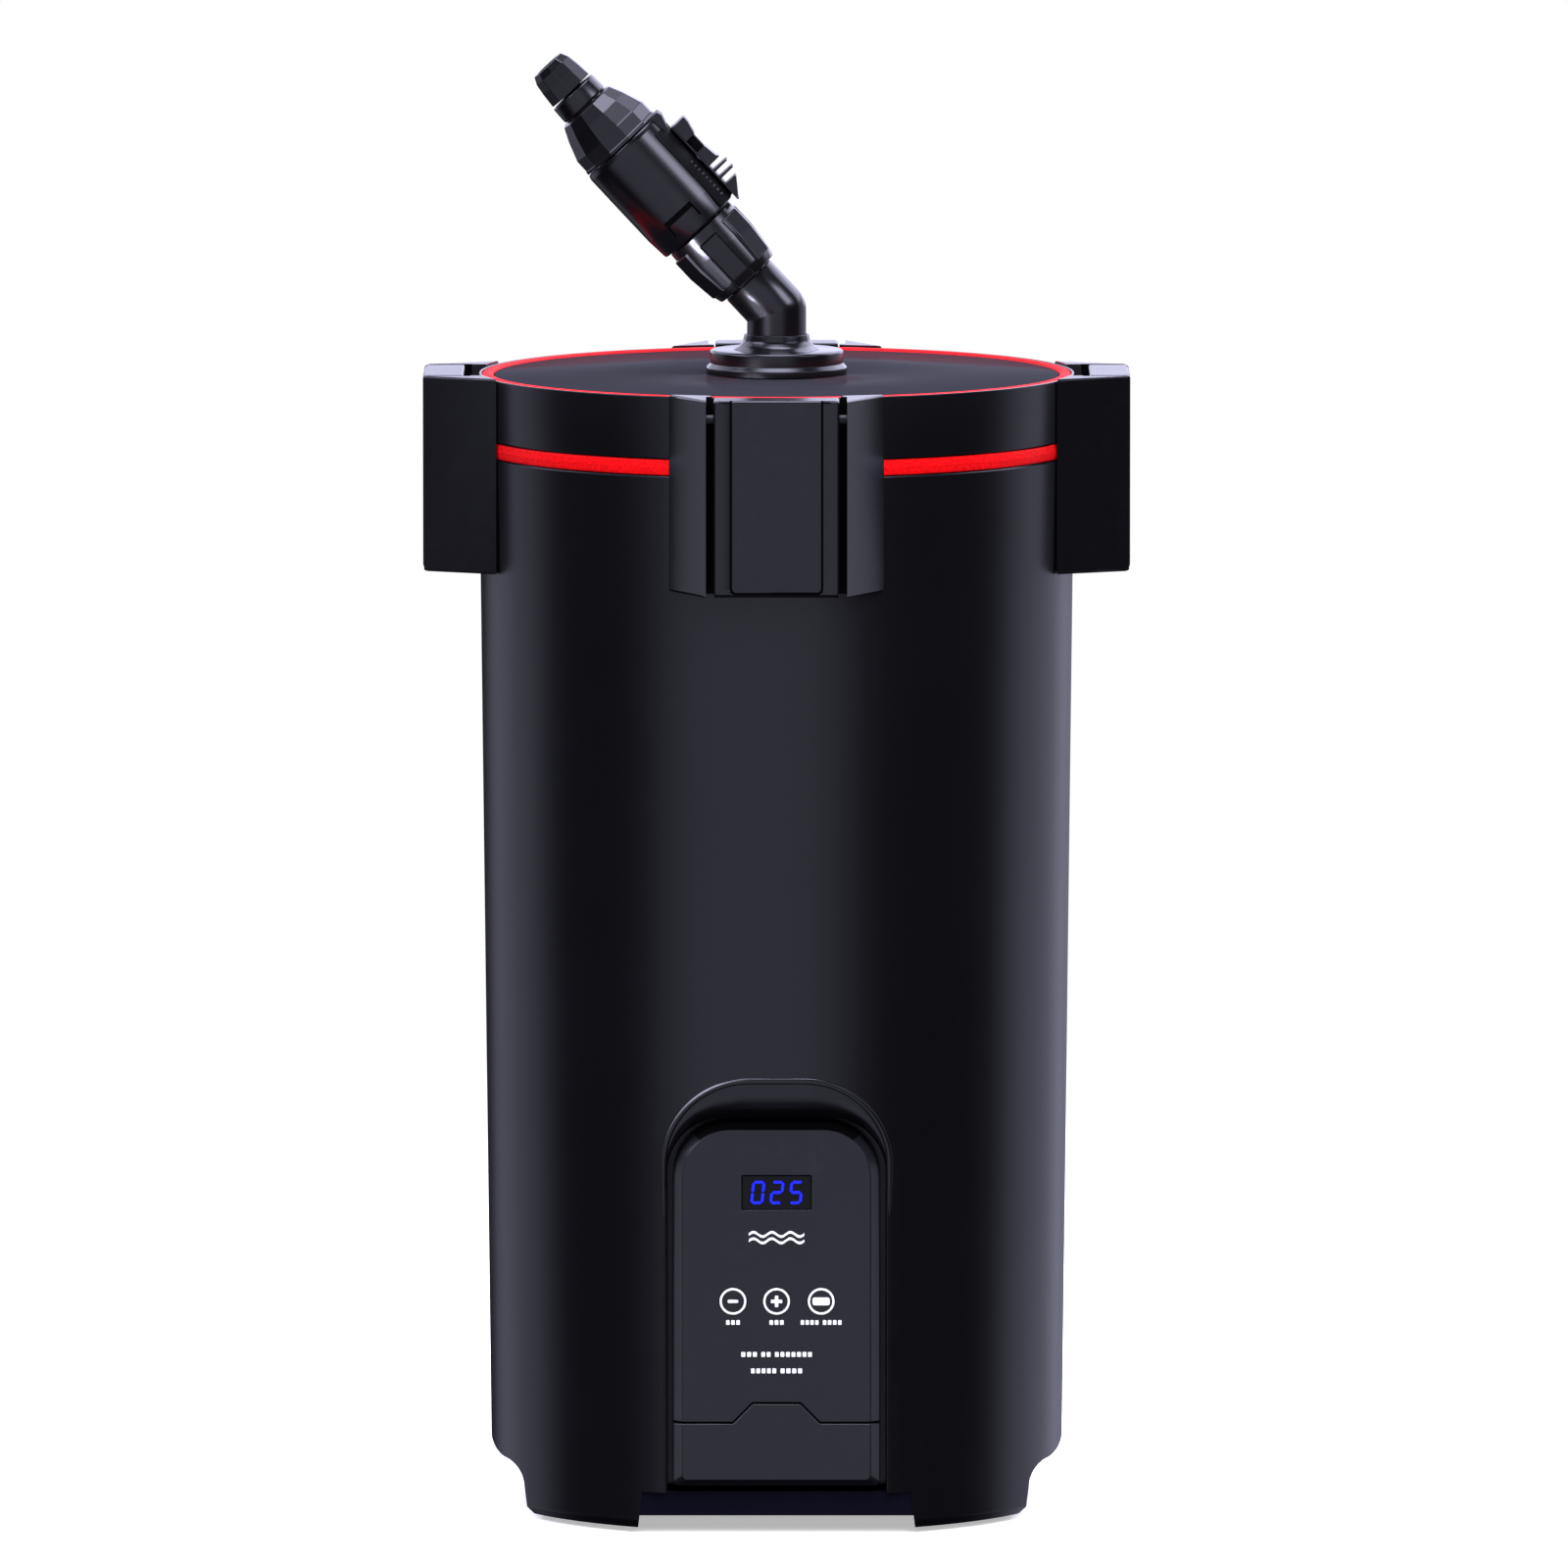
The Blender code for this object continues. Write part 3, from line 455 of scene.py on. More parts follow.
def polished(name, colour, roughness=0.12, ior=1.5, specular=0.5):
    """Glossy panel: faint swirl scratches and dust in the gloss."""
    g = Graph(name)
    stretched = g.add("Mapping", {"vector_type": "POINT"}, Vector=g.where, Scale=(900.0, 60.0, 60.0))
    scratches = g.noise(1.0, 3.0, stretched.outputs["Vector"])
    dust = g.remap(g.noise(700.0, 2.0), 0.62, 0.75, 0.0, 0.06)
    smear = g.remap(g.noise(14.0, 4.0), 0.3, 0.7, -0.03, 0.04)
    rough = g.math("ADD", g.math("ADD", smear, dust), roughness)
    drift = g.mix(g.noise(6.0), lighter(colour, 0.92), lighter(colour, 1.08))
    return g.out(
        Base_Color=drift, Roughness=rough, IOR=ior, Specular_IOR_Level=specular,
        Normal=g.bump(scratches, 0.005, 0.0001),
    )


def rubber(name, colour, roughness=0.7, specular=0.5):
    """Matt material with a fine speckled grain."""
    g = Graph(name)
    speck = g.remap(g.noise(900.0, 3.0), 0.35, 0.65, 0.8, 1.25)
    rough = g.remap(g.noise(60.0, 4.0), 0.3, 0.7, roughness - 0.08, roughness + 0.08)
    grain = g.bump(g.noise(1500.0), 0.12, 0.0002)
    tint = g.multiply(colour, speck)
    return g.out(Base_Color=tint, Roughness=rough, Specular_IOR_Level=specular, Normal=grain)


def brushed(name, colour, roughness=0.25, metallic=1.0):
    """Turned metal with fine marks round the axis."""
    g = Graph(name)
    stretched = g.add("Mapping", Vector=g.where, Scale=(40.0, 40.0, 4000.0))
    lines = g.noise(1.0, 3.0, stretched.outputs["Vector"])
    rough = g.remap(lines, 0.3, 0.7, roughness - 0.06, roughness + 0.08)
    tint = g.mix(g.noise(30.0), lighter(colour, 0.9), lighter(colour, 1.05))
    return g.out(Base_Color=tint, Roughness=rough, Metallic=metallic, Normal=g.bump(lines, 0.06, 0.0001))


def printed(name, colour, glow=0.0):
    """Pad-printed ink with a slightly broken surface, or a lit display segment; glow on the ink is painted
    glow, on the segments the display's own light.
    """
    g = Graph(name)
    worn = g.remap(g.noise(1800.0, 3.0), 0.35, 0.65, 0.0, 1.0)
    ink = g.mix(worn, lighter(colour, 0.88), colour)
    return g.out(
        Base_Color=ink, Roughness=g.remap(worn, 0, 1, 0.42, 0.58), Emission_Color=ink,
        Emission_Strength=glow, Normal=g.bump(worn, 0.08, 0.00005),
    )


def foam(name, colour, pores):
    """Open-cell foam: round pores in the bump, with painted shade darkening them in the colour."""
    g = Graph(name)
    cells = g.add("TexVoronoi", {"feature": "F1"}, Scale=pores)
    g.set(cells.inputs["Vector"], g.where)
    pore_depth_and_shade = g.remap(cells.outputs["Distance"], 0.15, 0.55, 1.0, 0.18)
    # Painted shade: the colour darkens towards the sunken pores.
    tint = g.multiply(colour, pore_depth_and_shade)
    return g.out(Base_Color=tint, Roughness=0.95, Specular_IOR_Level=0.15, Normal=g.bump(pore_depth_and_shade, 0.9, 0.0012))


def floss(name, colour):
    """Felted white fibre: stretched noise in two directions."""
    g = Graph(name)
    first = g.add("Mapping", Vector=g.where, Scale=(900.0, 110.0, 400.0))
    second = g.add("Mapping", Vector=g.where, Rotation=(0.0, 0.0, 1.1), Scale=(110.0, 900.0, 400.0))
    a = g.noise(1.0, 4.0, first.outputs["Vector"])
    b = g.noise(1.0, 4.0, second.outputs["Vector"])
    strands = g.math("MAXIMUM", a, b)
    # Painted shade: the colour darkens between the raised strands.
    shade = g.remap(strands, 0.4, 0.75, 0.72, 1.05)
    return g.out(
        Base_Color=g.multiply(colour, shade), Roughness=0.95, Specular_IOR_Level=0.1, Sheen_Weight=0.4,
        Normal=g.bump(strands, 0.8, 0.0008),
    )


CHARCOAL = (0.0028, 0.0028, 0.0038)
BODY = moulded("body_charcoal", CHARCOAL, 0.25)
LATCH = moulded("latch_charcoal", CHARCOAL, 0.25)
TAP_BLACK = moulded("tap_charcoal", (0.003, 0.003, 0.004), 0.2, grain=0.05)
CASE = moulded("controller_charcoal", (0.005, 0.0056, 0.0074), 0.32, grain=0.12)
BASE_NAVY = moulded("base_navy", (0.003, 0.0028, 0.0085), 0.5, specular=0.06)
INNER = moulded("inner_black", (0.004, 0.004, 0.0055), 0.42)
# Painted shade: a flat black put on faces in gaps, grooves and recesses and as a sheet under the tap's
# lever, where shade falls.
PAINTED_SHADE_BLACK = moulded("gap_black", (0.001, 0.001, 0.0014), 0.6, specular=0.08)
PANEL = polished("panel_gloss", (0.0205, 0.0205, 0.026), 0.1, ior=1.0023)
RED = moulded("red_trim", (0.7, 0.0035, 0.006), 0.55, wear=1.15, drift=0.05, specular=0.06)
SEAL_RED = rubber("red_silicone", (0.7, 0.003, 0.005), 0.5, specular=0.1)
RUBBER = rubber("black_rubber", (0.01, 0.01, 0.0105))
STEEL = brushed("stainless", (0.55, 0.56, 0.58))
DISPLAY = polished("display_window", (0.005, 0.005, 0.006), 0.1, specular=0.12)
# The white print glows faintly (0.25): a painted glow on top of its lit colour.
INK_WITH_PAINTED_GLOW = printed("white_ink", (0.8, 0.8, 0.82), 0.25)
BLUE = printed("blue_segments", (0.002, 0.008, 0.9), 1.5)
CERAMIC = rubber("ceramic_grey", (0.52, 0.43, 0.33), 0.85)
BASKET = moulded("basket_black", (0.013, 0.013, 0.015), 0.45)
COPPER = brushed("winding_copper", (0.62, 0.25, 0.11), 0.35)
MAGNET = brushed("ferrite", (0.05, 0.05, 0.055), 0.5, 0.6)
IMPELLER = moulded("impeller_white", (0.62, 0.62, 0.6), 0.4, wear=1.1, drift=0.04)
BOARD = moulded("board_green", (0.01, 0.1, 0.03), 0.4, grain=0.2)
BALL = moulded("ball_grey", (0.4, 0.4, 0.41), 0.25, wear=1.1, drift=0.05)
# Painted highlight: a paler grey and much paler edges stand for the light on the small ribs.
RIB_PAINTED_HIGHLIGHT = moulded("rib_polished", (0.02, 0.02, 0.024), 0.18, wear=3.0)
SPONGE = foam("sponge_blue", (0.03, 0.06, 0.17), 420.0)
FLOSS = floss("floss_white", (0.74, 0.75, 0.76))


# ---------------------------------------------------------------- barrel and base


def barrel_radius(z):
    return RIM_RADIUS - DRAFT * (BARREL_TOP - z)


def surface_depth(x, z):
    """Where the barrel's front surface is, at this x and height."""
    return -math.sqrt(max(barrel_radius(z) ** 2 - x * x, 0))


def pocket_tool():
    """The controller's recess, with a small flare that rounds its edge into the barrel's surface."""

    def ring(half, top, corner, depth):
        outline = arch(half, top, corner, POCKET_BOTTOM, 20)
        return [(x, depth(x, z) if callable(depth) else depth, z) for x, z in outline]

    half, top, corner = POCKET
    flare = 0.0012
    sections = [ring(half + flare, top + flare, corner + flare, -0.14)]
    for grow, out in ((flare, 0.0008), (0.0005, 0.00015), (0.0002, -0.0001)):
        edge = (half + grow, top + grow, corner + grow)
        sections.append(ring(*edge, lambda x, z, o=out: surface_depth(x, z) - o))
    first, last, turns = 12, 42, 7  # degrees turned by the roll that leads into the recess
    for i in range(turns + 1):
        angle = math.radians(first + (last - first) * i / turns)
        down = math.sin(angle) / math.sin(math.radians(last))
        inward = (1 - math.cos(angle)) / (1 - math.cos(math.radians(last)))

        def depth(x, z, share=inward):
            return surface_depth(x, z) * (1 - share) - 0.1074 * share

        sections.append(ring(half - 0.001 * down, top - 0.0151 * down, corner - 0.0115 * down, depth))
    for y in (POCKET_LIP_Y, -0.0992, POCKET_BACK_Y):
        sections.append(ring(*POCKET_INNER, y))
    return skin("pocket_tool", sections)


def pocket_bead():
    """The raised bead round the top of the recess, thinning out down its sides."""
    half, top, corner = POCKET
    outline = arch(half + 0.0006, top + 0.0008, corner + 0.0008, 0.118, 28)
    path = [Vector((x, surface_depth(x, z), z)) for x, z in outline]
    count = len(path)
    rings = []
    for i, point in enumerate(path):
        along = (path[min(i + 1, count - 1)] - path[max(i - 1, 0)]).normalized()
        outward = Vector((point.x, point.y, 0)).normalized()
        across = along.cross(outward).normalized()
        size, sink = (0.0014, 0.0005) if 0 < i < count - 1 else (0.0003, 0.0008)
        ring = circle(size, steps=20)
        rings.append([tuple(point + outward * (s - sink) + across * c) for c, s in ring])
    return skin("pocket_bead", rings)


def grip_outline(side):
    """The S-shaped section of a hand grip: an outward arc, an inward arc, then down."""
    top_x, foot_x, start, radius, steps = 0.1168, 0.1026, 0.0302, 0.0076, 14
    points = []
    for i in range(steps + 1):
        angle = math.radians(78 * i / steps)
        points.append((top_x - radius * (1 - math.cos(angle)), start - radius * math.sin(angle)))
    end = points[-1]
    for i in range(1, steps + 1):
        angle = math.radians(80 * i / steps)
        share = math.sin(angle) / math.sin(math.radians(80))
        points.append((end[0] + (foot_x - end[0]) * share, end[1] - 0.01 * (1 - math.cos(angle))))
    points += [(0.1014, 0.005), (0.098, 0.002), (0.098, -0.01), (0.14, -0.01), (0.14, 0.034)]
    return [(side * x, z) for x, z in points]


def round_normals(barrel):
    """Sets the exact normals of the drafted cylinder, which the cuts would otherwise bend."""
    mesh, vertices = barrel.data, barrel.data.vertices
    normals = [tuple(corner.vector) for corner in mesh.corner_normals]
    for face in mesh.polygons:
        middle = face.center
        away = Vector((middle.x, middle.y, 0))
        outward = away.normalized().dot(face.normal)
        corners = [vertices[i].co for i in face.vertices]
        off = max(abs(math.hypot(*point.xy) - barrel_radius(point.z)) for point in corners)
        if outward < 0.99 or off > 0.0001:
            continue
        for index in face.loop_indices:
            point = vertices[mesh.loops[index].vertex_index].co
            normals[index] = tuple(Vector((point.x, point.y, -DRAFT * math.hypot(*point.xy))).normalized())
    mesh.normals_split_custom_set(normals)
    return barrel


def make_barrel():
    """The canister: a drafted round shell with a floor, the controller's recess, two grips and lugs."""
    radius, top = barrel_radius, BARREL_TOP
    foot = SKIRT_BOTTOM + SKIRT_LIFT
    outer = [
        (0, top), (radius(top), top, 0.0008), (radius(0.22), 0.22, 0), (radius(0.0055), 0.0055, 0.002),
        (radius(0) - 0.0024, foot, 0.001), (0, foot),
    ]
    barrel = lathe("barrel_shell", rounded(outer, closed=False))
    cavity = [
        (0, 0.45, 0), (radius(top) - WALL, 0.45, 0), (radius(0.2) - WALL, FLOOR_TOP, 0.004),
        (0.016, FLOOR_TOP, 0.001), (0.016, FLOOR_BOTTOM, 0), (radius(0.19) - WALL, FLOOR_BOTTOM, 0),
        (radius(0) - WALL, -0.01, 0), (0, -0.01, 0),
    ]
    upper = lathe("upper_cavity_tool", rounded(cavity))
    cut(
        upper, block("pocket_block", (-0.049, -0.13, 0.0184), (0.049, -0.082, 0.192)),
        block("grip_block_left", (-0.13, -0.1, -0.02), (-0.095, 0.1, 0.037)),
        block("grip_block_right", (0.095, -0.1, -0.02), (0.13, 0.1, 0.037)),
    )
    bake(upper)
    gap = [(-0.0574, -0.01), (0.0574, -0.01), (0.0543, 0.0174), (-0.0543, 0.0174)]
    cut(
        barrel, rod("outlet_tool", 0.0104, (0, 0.1, OUTLET_Z), (0, 0.13, OUTLET_Z), 46),
        rod("cord_tool", 0.0063, (0, 0.09, CORD_Z), (0, 0.13, CORD_Z), 38), upper, pocket_tool(),
        prism("front_gap_tool", gap, -0.13, -0.09, "XZ"),
        prism("grip_tool_right", grip_outline(1), -0.07, 0.07, "XZ"),
        prism("grip_tool_left", grip_outline(-1), -0.07, 0.07, "XZ"),
    )
    mould(barrel, 28).modifiers.new("flat", "WEIGHTED_NORMAL").keep_sharp = True
    place(round_normals(bake(barrel)), "barrel", BODY, "barrel")
    half, top, _ = POCKET_INNER

    # The recess's inner faces, which get painted shade.
    def in_pocket_shade(point):
        beside = abs(point.x) < half + 0.0007 and POCKET_BOTTOM + 0.0005 < point.z < top + 0.0009
        return beside and POCKET_LIP_Y - 0.0004 < point.y < POCKET_BACK_Y - 0.001

    paint_shade(barrel, in_pocket_shade)
    place(smooth(pocket_bead(), 60), "barrel", BODY, slot="body_plastic")
    hook = [(-0.1195, 0.4072), (-0.1195, 0.4148), (-0.1236, 0.414, 0.001), (-0.1248, 0.4128, 0.0008)]
    for side, angle in SIDES:
        lug = prism(f"keeper_lug_{side}", rounded(hook + [(-0.1248, 0.408, 0.0006)]), -0.011, 0.011, "YZ")
        soften(lug, 0.0005)
        lug.rotation_euler.z = math.radians(angle)
        place(lug, "barrel", BODY, slot="body_plastic")


def make_base():
    """The base tray, the band that shows below the front edge, and four feet."""
    low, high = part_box("base_plate")
    bottom, top, radius = 0.0078, 0.0103, 0.1105
    tray = rounded([(0, bottom), (radius, bottom, 0.001), (radius, top, 0.0005), (0, top)])
    plate = lathe("base_tray", tray)
    common(plate, block("base_limits", (low.x, low.y, 0), (high.x, 0.12, 0.05)))
    place(mould(plate, 35), "barrel", BASE_NAVY, "base_plate")
    face = rounded(
        [(-0.0566, 0.0074), (0.0566, 0.0074), (0.0545, 0.0174, 0.0006), (-0.0545, 0.0174, 0.0006)],
    )
    band = prism("base_band", face, low.y - 0.0015, low.y + 0.003, "XZ")
    place(soften(band, 0.0004), "barrel", BASE_NAVY, slot="base_plastic")
    profile = [
        (0, 0.0008), (0.0045, 0.0008, 0.0005), (0.0052, 0.0, 0.0003), (0.008, 0.0, 0.0006),
        (0.009, 0.0012, 0.0006), (0.009, 0.008, 0.0003), (0, 0.008),
    ]
    for name in ("foot_front_left", "foot_front_right", "foot_back_left", "foot_back_right"):
        low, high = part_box(name)
        foot = lathe(f"{name}_pad", rounded(profile, closed=False), 48)
        foot.location = ((low.x + high.x) / 2, (low.y + high.y) / 2, 0)
        place(smooth(foot), "barrel", RUBBER, name)


def make_cord():
    """The strain relief: a ribbed sleeve that tapers round the cord."""
    profile = [
        (0.003, -0.008), (0.006, -0.008), (0.006, 0.0), (0.0085, 0.0, 0.0005), (0.0085, 0.0022, 0.0007),
    ]
    for i in range(4):
        size, start = 0.0058 - 0.0004 * i, 0.003 + 0.0018 * i
        profile += [
            (size, start, 0.0002), (size, start + 0.001, 0.0002), (size - 0.0008, start + 0.0012, 0.0002),
        ]
    profile += [(0.0034, 0.0104, 0.0003), (0.0034, 0.018, 0.0004), (0.003, 0.018), (0.003, 0.0175)]
    sleeve = lathe("cord_sleeve", rounded(profile, 0.0001), 40)
    stub = [(0, -0.011), (0.0031, -0.011, 0.0005), (0.0031, 0.0178, 0.0004), (0, 0.0178)]
    core = lathe("cord_core", rounded(stub), 32)
    for piece, node in ((sleeve, "cord_gland"), (core, None)):
        piece.matrix_world = Matrix.Translation((0, 0.117, CORD_Z)) @ Matrix.Rotation(-math.pi / 2, 4, "X")
        place(smooth(piece), "barrel", RUBBER, node, slot="rubber")


def make_outlet():
    """The rear hose outlet: a flanged elbow with a barbed end."""
    bend, steps = 0.0115, 14
    path = [(0, 0.096, OUTLET_Z), (0, 0.119, OUTLET_Z)]
    for i in range(steps + 1):
        angle = math.pi / 2 * i / steps
        path.append((0, OUTLET_Y - bend + bend * math.sin(angle), OUTLET_Z + bend * (1 - math.cos(angle))))
    path.append((0, OUTLET_Y, OUTLET_Z + 0.024))
    sizes = [0.0076, 0.0084] + [0.009] * (steps + 2)
    elbow = tube("outlet_pipe", path, sizes, (1, 0, 0))
    low, high = OUTLET_Z + 0.0225, OUTLET_Z + 0.045
    barbs = [(0.0058, high, 0.0004), (0.0088, high, 0.0006)]
    for i in range(3):
        step = high - 0.005 - 0.0065 * i
        barbs += [(0.0106, step, 0.0003), (0.0093, step - 0.0003, 0.0002)]
    barbs += [(0.0093, low, 0.0004), (0.0058, low + 0.001, 0)]
    hose_end = lathe("outlet_barbs", rounded(barbs, 0.0002), 64)
    hose_end.location = (0, OUTLET_Y, 0)
    ring = [(0.007, 0), (0.01, 0, 0.0005), (0.01, 0.0083, 0.0006), (0.007, 0.0083)]
    flange = lathe("outlet_flange", rounded(ring), 64)
    flange.matrix_world = Matrix.Translation((0, 0.1133, OUTLET_Z)) @ Matrix.Rotation(-math.pi / 2, 4, "X")
    place(smooth(elbow), "outlet", INNER, "outlet_elbow")
    for piece in (hose_end, flange):
        place(smooth(piece), "outlet", INNER, slot="inner_plastic")


# ---------------------------------------------------------------- lid


def make_lid():
    """The lid's turned pieces: shell, red trim ring, gloss panel, rim gasket and port collar."""
    shell = [
        (0.12, LID_TOP, 0.0004), (RIM_RADIUS, LID_TOP, 0.0011), (RIM_RADIUS, LID_BOTTOM, 0.0006),
        (PLUG_RADIUS, LID_BOTTOM, 0.0003), (PLUG_RADIUS, LID_FOOT, 0.0005),
        (PLUG_RADIUS - 0.0029, LID_FOOT, 0.0005), (PLUG_RADIUS - 0.0029, LID_CEILING, 0.001),
        (0.0195, LID_CEILING, 0.001), (0.0195, 0.446, 0.0005), (0.009, 0.446, 0.0005),
        (0.009, 0.4485, 0.0003), (0.0151, 0.4485, 0.0003), (0.0151, LID_DECK, 0.0003),
        (0.12, LID_DECK, 0.0003),
    ]
    place(smooth(lathe("lid_skin", rounded(shell, steps=4)), 50), "lid", BODY, "lid_shell")
    low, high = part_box("lid_trim_ring")
    inner, outer = TRIM_INNER, TRIM_OUTER
    ring = [
        (inner, low.z, 0.0002), (inner, high.z - 0.0008, 0.001), ((inner + outer) / 2, high.z, 0.004),
        (outer, high.z - 0.0007, 0.0008), (outer, low.z, 0.0002),
    ]
    place(smooth(lathe("lid_trim_band", rounded(ring)), 50), "lid", RED, "lid_trim_ring")
    low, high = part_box("lid_panel")
    edge = inner - 0.0003
    panel = [(0.0155, low.z), (0.0155, high.z, 0.0004), (edge, high.z, 0.0007), (edge, low.z)]
    place(smooth(lathe("lid_gloss_panel", rounded(panel, 0.0002)), 50), "lid", PANEL, "lid_panel")
    low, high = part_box("rim_seal")
    middle, swell = (low.z + high.z) / 2, 0.0002
    seal = [
        (0.1178, low.z), (high.x - 0.0004, low.z, 0.0006), (high.x - swell, low.z + 0.0012, 0.001),
        (high.x, middle, 0.002), (high.x - swell, high.z - 0.0012, 0.001),
        (high.x - 0.0004, high.z, 0.0006), (0.1178, high.z),
    ]
    gasket = smooth(lathe("rim_gasket", rounded(seal, 0.0003)), 50)
    gasket.visible_glossy = gasket.visible_diffuse = False
    place(gasket, "lid", SEAL_RED, "rim_seal")
    collar = [
        (0.0125, 0.4782, 0.0002), (0.0131, 0.4782, 0.0002), (0.0136, 0.4756, 0.003),
        (0.0152, 0.4735, 0.003), (0.018, 0.472, 0.003), (0.0272, 0.472, 0.0013), (0.027, 0.4665, 0.0003),
        (0.0286, 0.4648, 0.0007), (0.0286, 0.4624, 0.0003), (0.0148, 0.4624, 0.0002),
        (0.0148, 0.4525, 0.0002), (0.0125, 0.4525, 0.0002),
    ]
    port = smooth(lathe("port_collar_skin", rounded(collar, steps=4), 128), 40)
    place(port, "lid", TAP_BLACK, "port_collar")


def bracket_mesh():
    """The two wings that carry the lever, joined by a low web that hugs the barrel."""
    face, base, tip = LATCH_FACE, -0.111, 0.0281
    slot = LEVER_HALF + 0.003
    clear = LEVER_HALF + 0.0005
    outline = [(-0.0445, base, 0), (-tip, face, 0.001), (tip, face, 0.001), (0.0445, base, 0)]
    wings = prism("bracket", rounded(outline, steps=4), LATCH_BOTTOM, LATCH_TOP)
    bake(soften(wings, 0.0012, 4, 50))
    cut(
        wings, rod("seat_tool", 0.1215, (0, 0, 0.35), (0, 0, 0.5), STEPS),
        block("slot_tool", (-slot, -0.16, 0.35), (slot, -0.1242, 0.5)),
        block("top_slot_tool", (-clear, -0.16, 0.44), (clear, -0.11, 0.5)),
        block("notch_tool", (-0.013, -0.13, 0.35), (0.013, -0.11, 0.4165)),
        rod("pin_tool", PIN_BORE, (-0.0315, PIN.y, PIN.z), (0.0315, PIN.y, PIN.z), 30),
    )
    return mould(wings)


def lever_mesh():
    """The latch lever: a slab with a frame round its centre panel, hollow behind."""
    half, face, cheek = LEVER_HALF, LATCH_FACE, LEVER_HALF - 0.0033
    side = [
        (face, LATCH_BOTTOM, 0.0028), (face, LATCH_TOP, 0.0012), (-0.127, LATCH_TOP, 0.001),
        (-0.127, LATCH_BOTTOM, 0.001),
    ]
    slab = prism("lever", rounded(side, steps=6), -half, half, "YZ")
    edges = soften(slab, 0.0012, 4, 50).modifiers["edges"]
    edges.use_clamp_overlap = False
    bake(slab)

    def frame_outline(reach, bottom, corner):
        corners = [(-reach, bottom, corner), (reach, bottom, corner)]
        return rounded([(-reach, 0.48, 0), *corners, (reach, 0.48, 0)], steps=6)

    outer = frame_outline(LINE_HALF, LATCH_BOTTOM + 0.0012, 0.0026)
    inner = frame_outline(LINE_HALF - 0.001, LATCH_BOTTOM + 0.0022, 0.0019)
    line = prism("line", outer, -0.15, face + LINE_DEPTH, "XZ")
    keep = prism("keep", inner, -0.16, face + 0.003, "XZ")
    bake(cut(line, keep))
    hollow = block("lever_hollow", (-cheek, face + 0.003, 0.37), (cheek, -0.11, LATCH_TOP - 0.0025))
    cut(slab, line, hollow)
    bake(slab)
    boss = rod("lever_boss", 0.0045, (-cheek - 0.001, PIN.y, PIN.z), (cheek + 0.001, PIN.y, PIN.z), 40)
    hook = [
        (face + 0.0015, 0.399), (-0.1256, 0.401, 0.0006), (-0.1252, 0.407, 0.0006), (-0.13, 0.4075, 0.0004),
        (face + 0.0015, 0.4075),
    ]
    join(slab, boss, prism("lever_hook", rounded(hook), -0.009, 0.009, "YZ"))
    cut(slab, rod("lever_bore", PIN_BORE, (-0.04, PIN.y, PIN.z), (0.04, PIN.y, PIN.z), 30))
    return mould(slab)


def in_lever_line_shade(point):
    """Inside the thin line round the lever's centre panel, where shade is painted."""
    shallow = LATCH_FACE + 0.0002 < point.y < LATCH_FACE + 0.002
    across, edge = abs(point.x), LINE_HALF + 0.0001
    on_frame = LINE_HALF - 0.0011 < across < edge or (across < edge and point.z < LATCH_BOTTOM + 0.0045)
    if abs(point.y - (LATCH_FACE + LINE_DEPTH)) < 0.0001 and across < edge:
        return True
    return shallow and on_frame and LATCH_BOTTOM + 0.001 < point.z < LATCH_TOP - 0.0002


def in_wing_slot_shade(point):
    """On the walls of the slot that the lever lies in, where shade is painted."""
    beside = abs(point.x) < LEVER_HALF + 0.0031 and point.z > LATCH_BOTTOM
    return beside and LATCH_FACE + 0.0004 < point.y < -0.11


def make_latches():
    """Four copies of the bracket and the lever, turned round the barrel's axis."""
    bracket, lever = bracket_mesh(), lever_mesh()
    for side, angle in SIDES:
        turn = Matrix.Rotation(math.radians(angle), 4, "Z")
        for source, name, body, node in (
            (bracket, f"latch_wings_{side}", "lid", f"latch_bracket_{side}"),
            (lever, f"latch_cover_{side}", f"latch_{side}", f"latch_lever_{side}"),
        ):
            piece = link(name, source.data.copy())
            piece.matrix_world = turn
            piece.modifiers.new("flat", "WEIGHTED_NORMAL").keep_sharp = True
            place(piece, body, LATCH, node)
            # Painted shade on the lever's line and on the walls of the slot.
            paint_shade(piece, in_lever_line_shade if source == lever else in_wing_slot_shade)
    for source in (bracket, lever):
        bpy.data.objects.remove(source, do_unlink=True)


# ---------------------------------------------------------------- hose connection


def fit(piece, body, material=TAP_BLACK, node=None, turn=0):
    """Places a piece made in the tap's own frame, whose Z runs along the tilted axis."""
    piece.matrix_world = TAP @ Matrix.Rotation(turn, 4, "Z")
    return place(piece, body, material, node, slot=None if node else "tap_plastic")


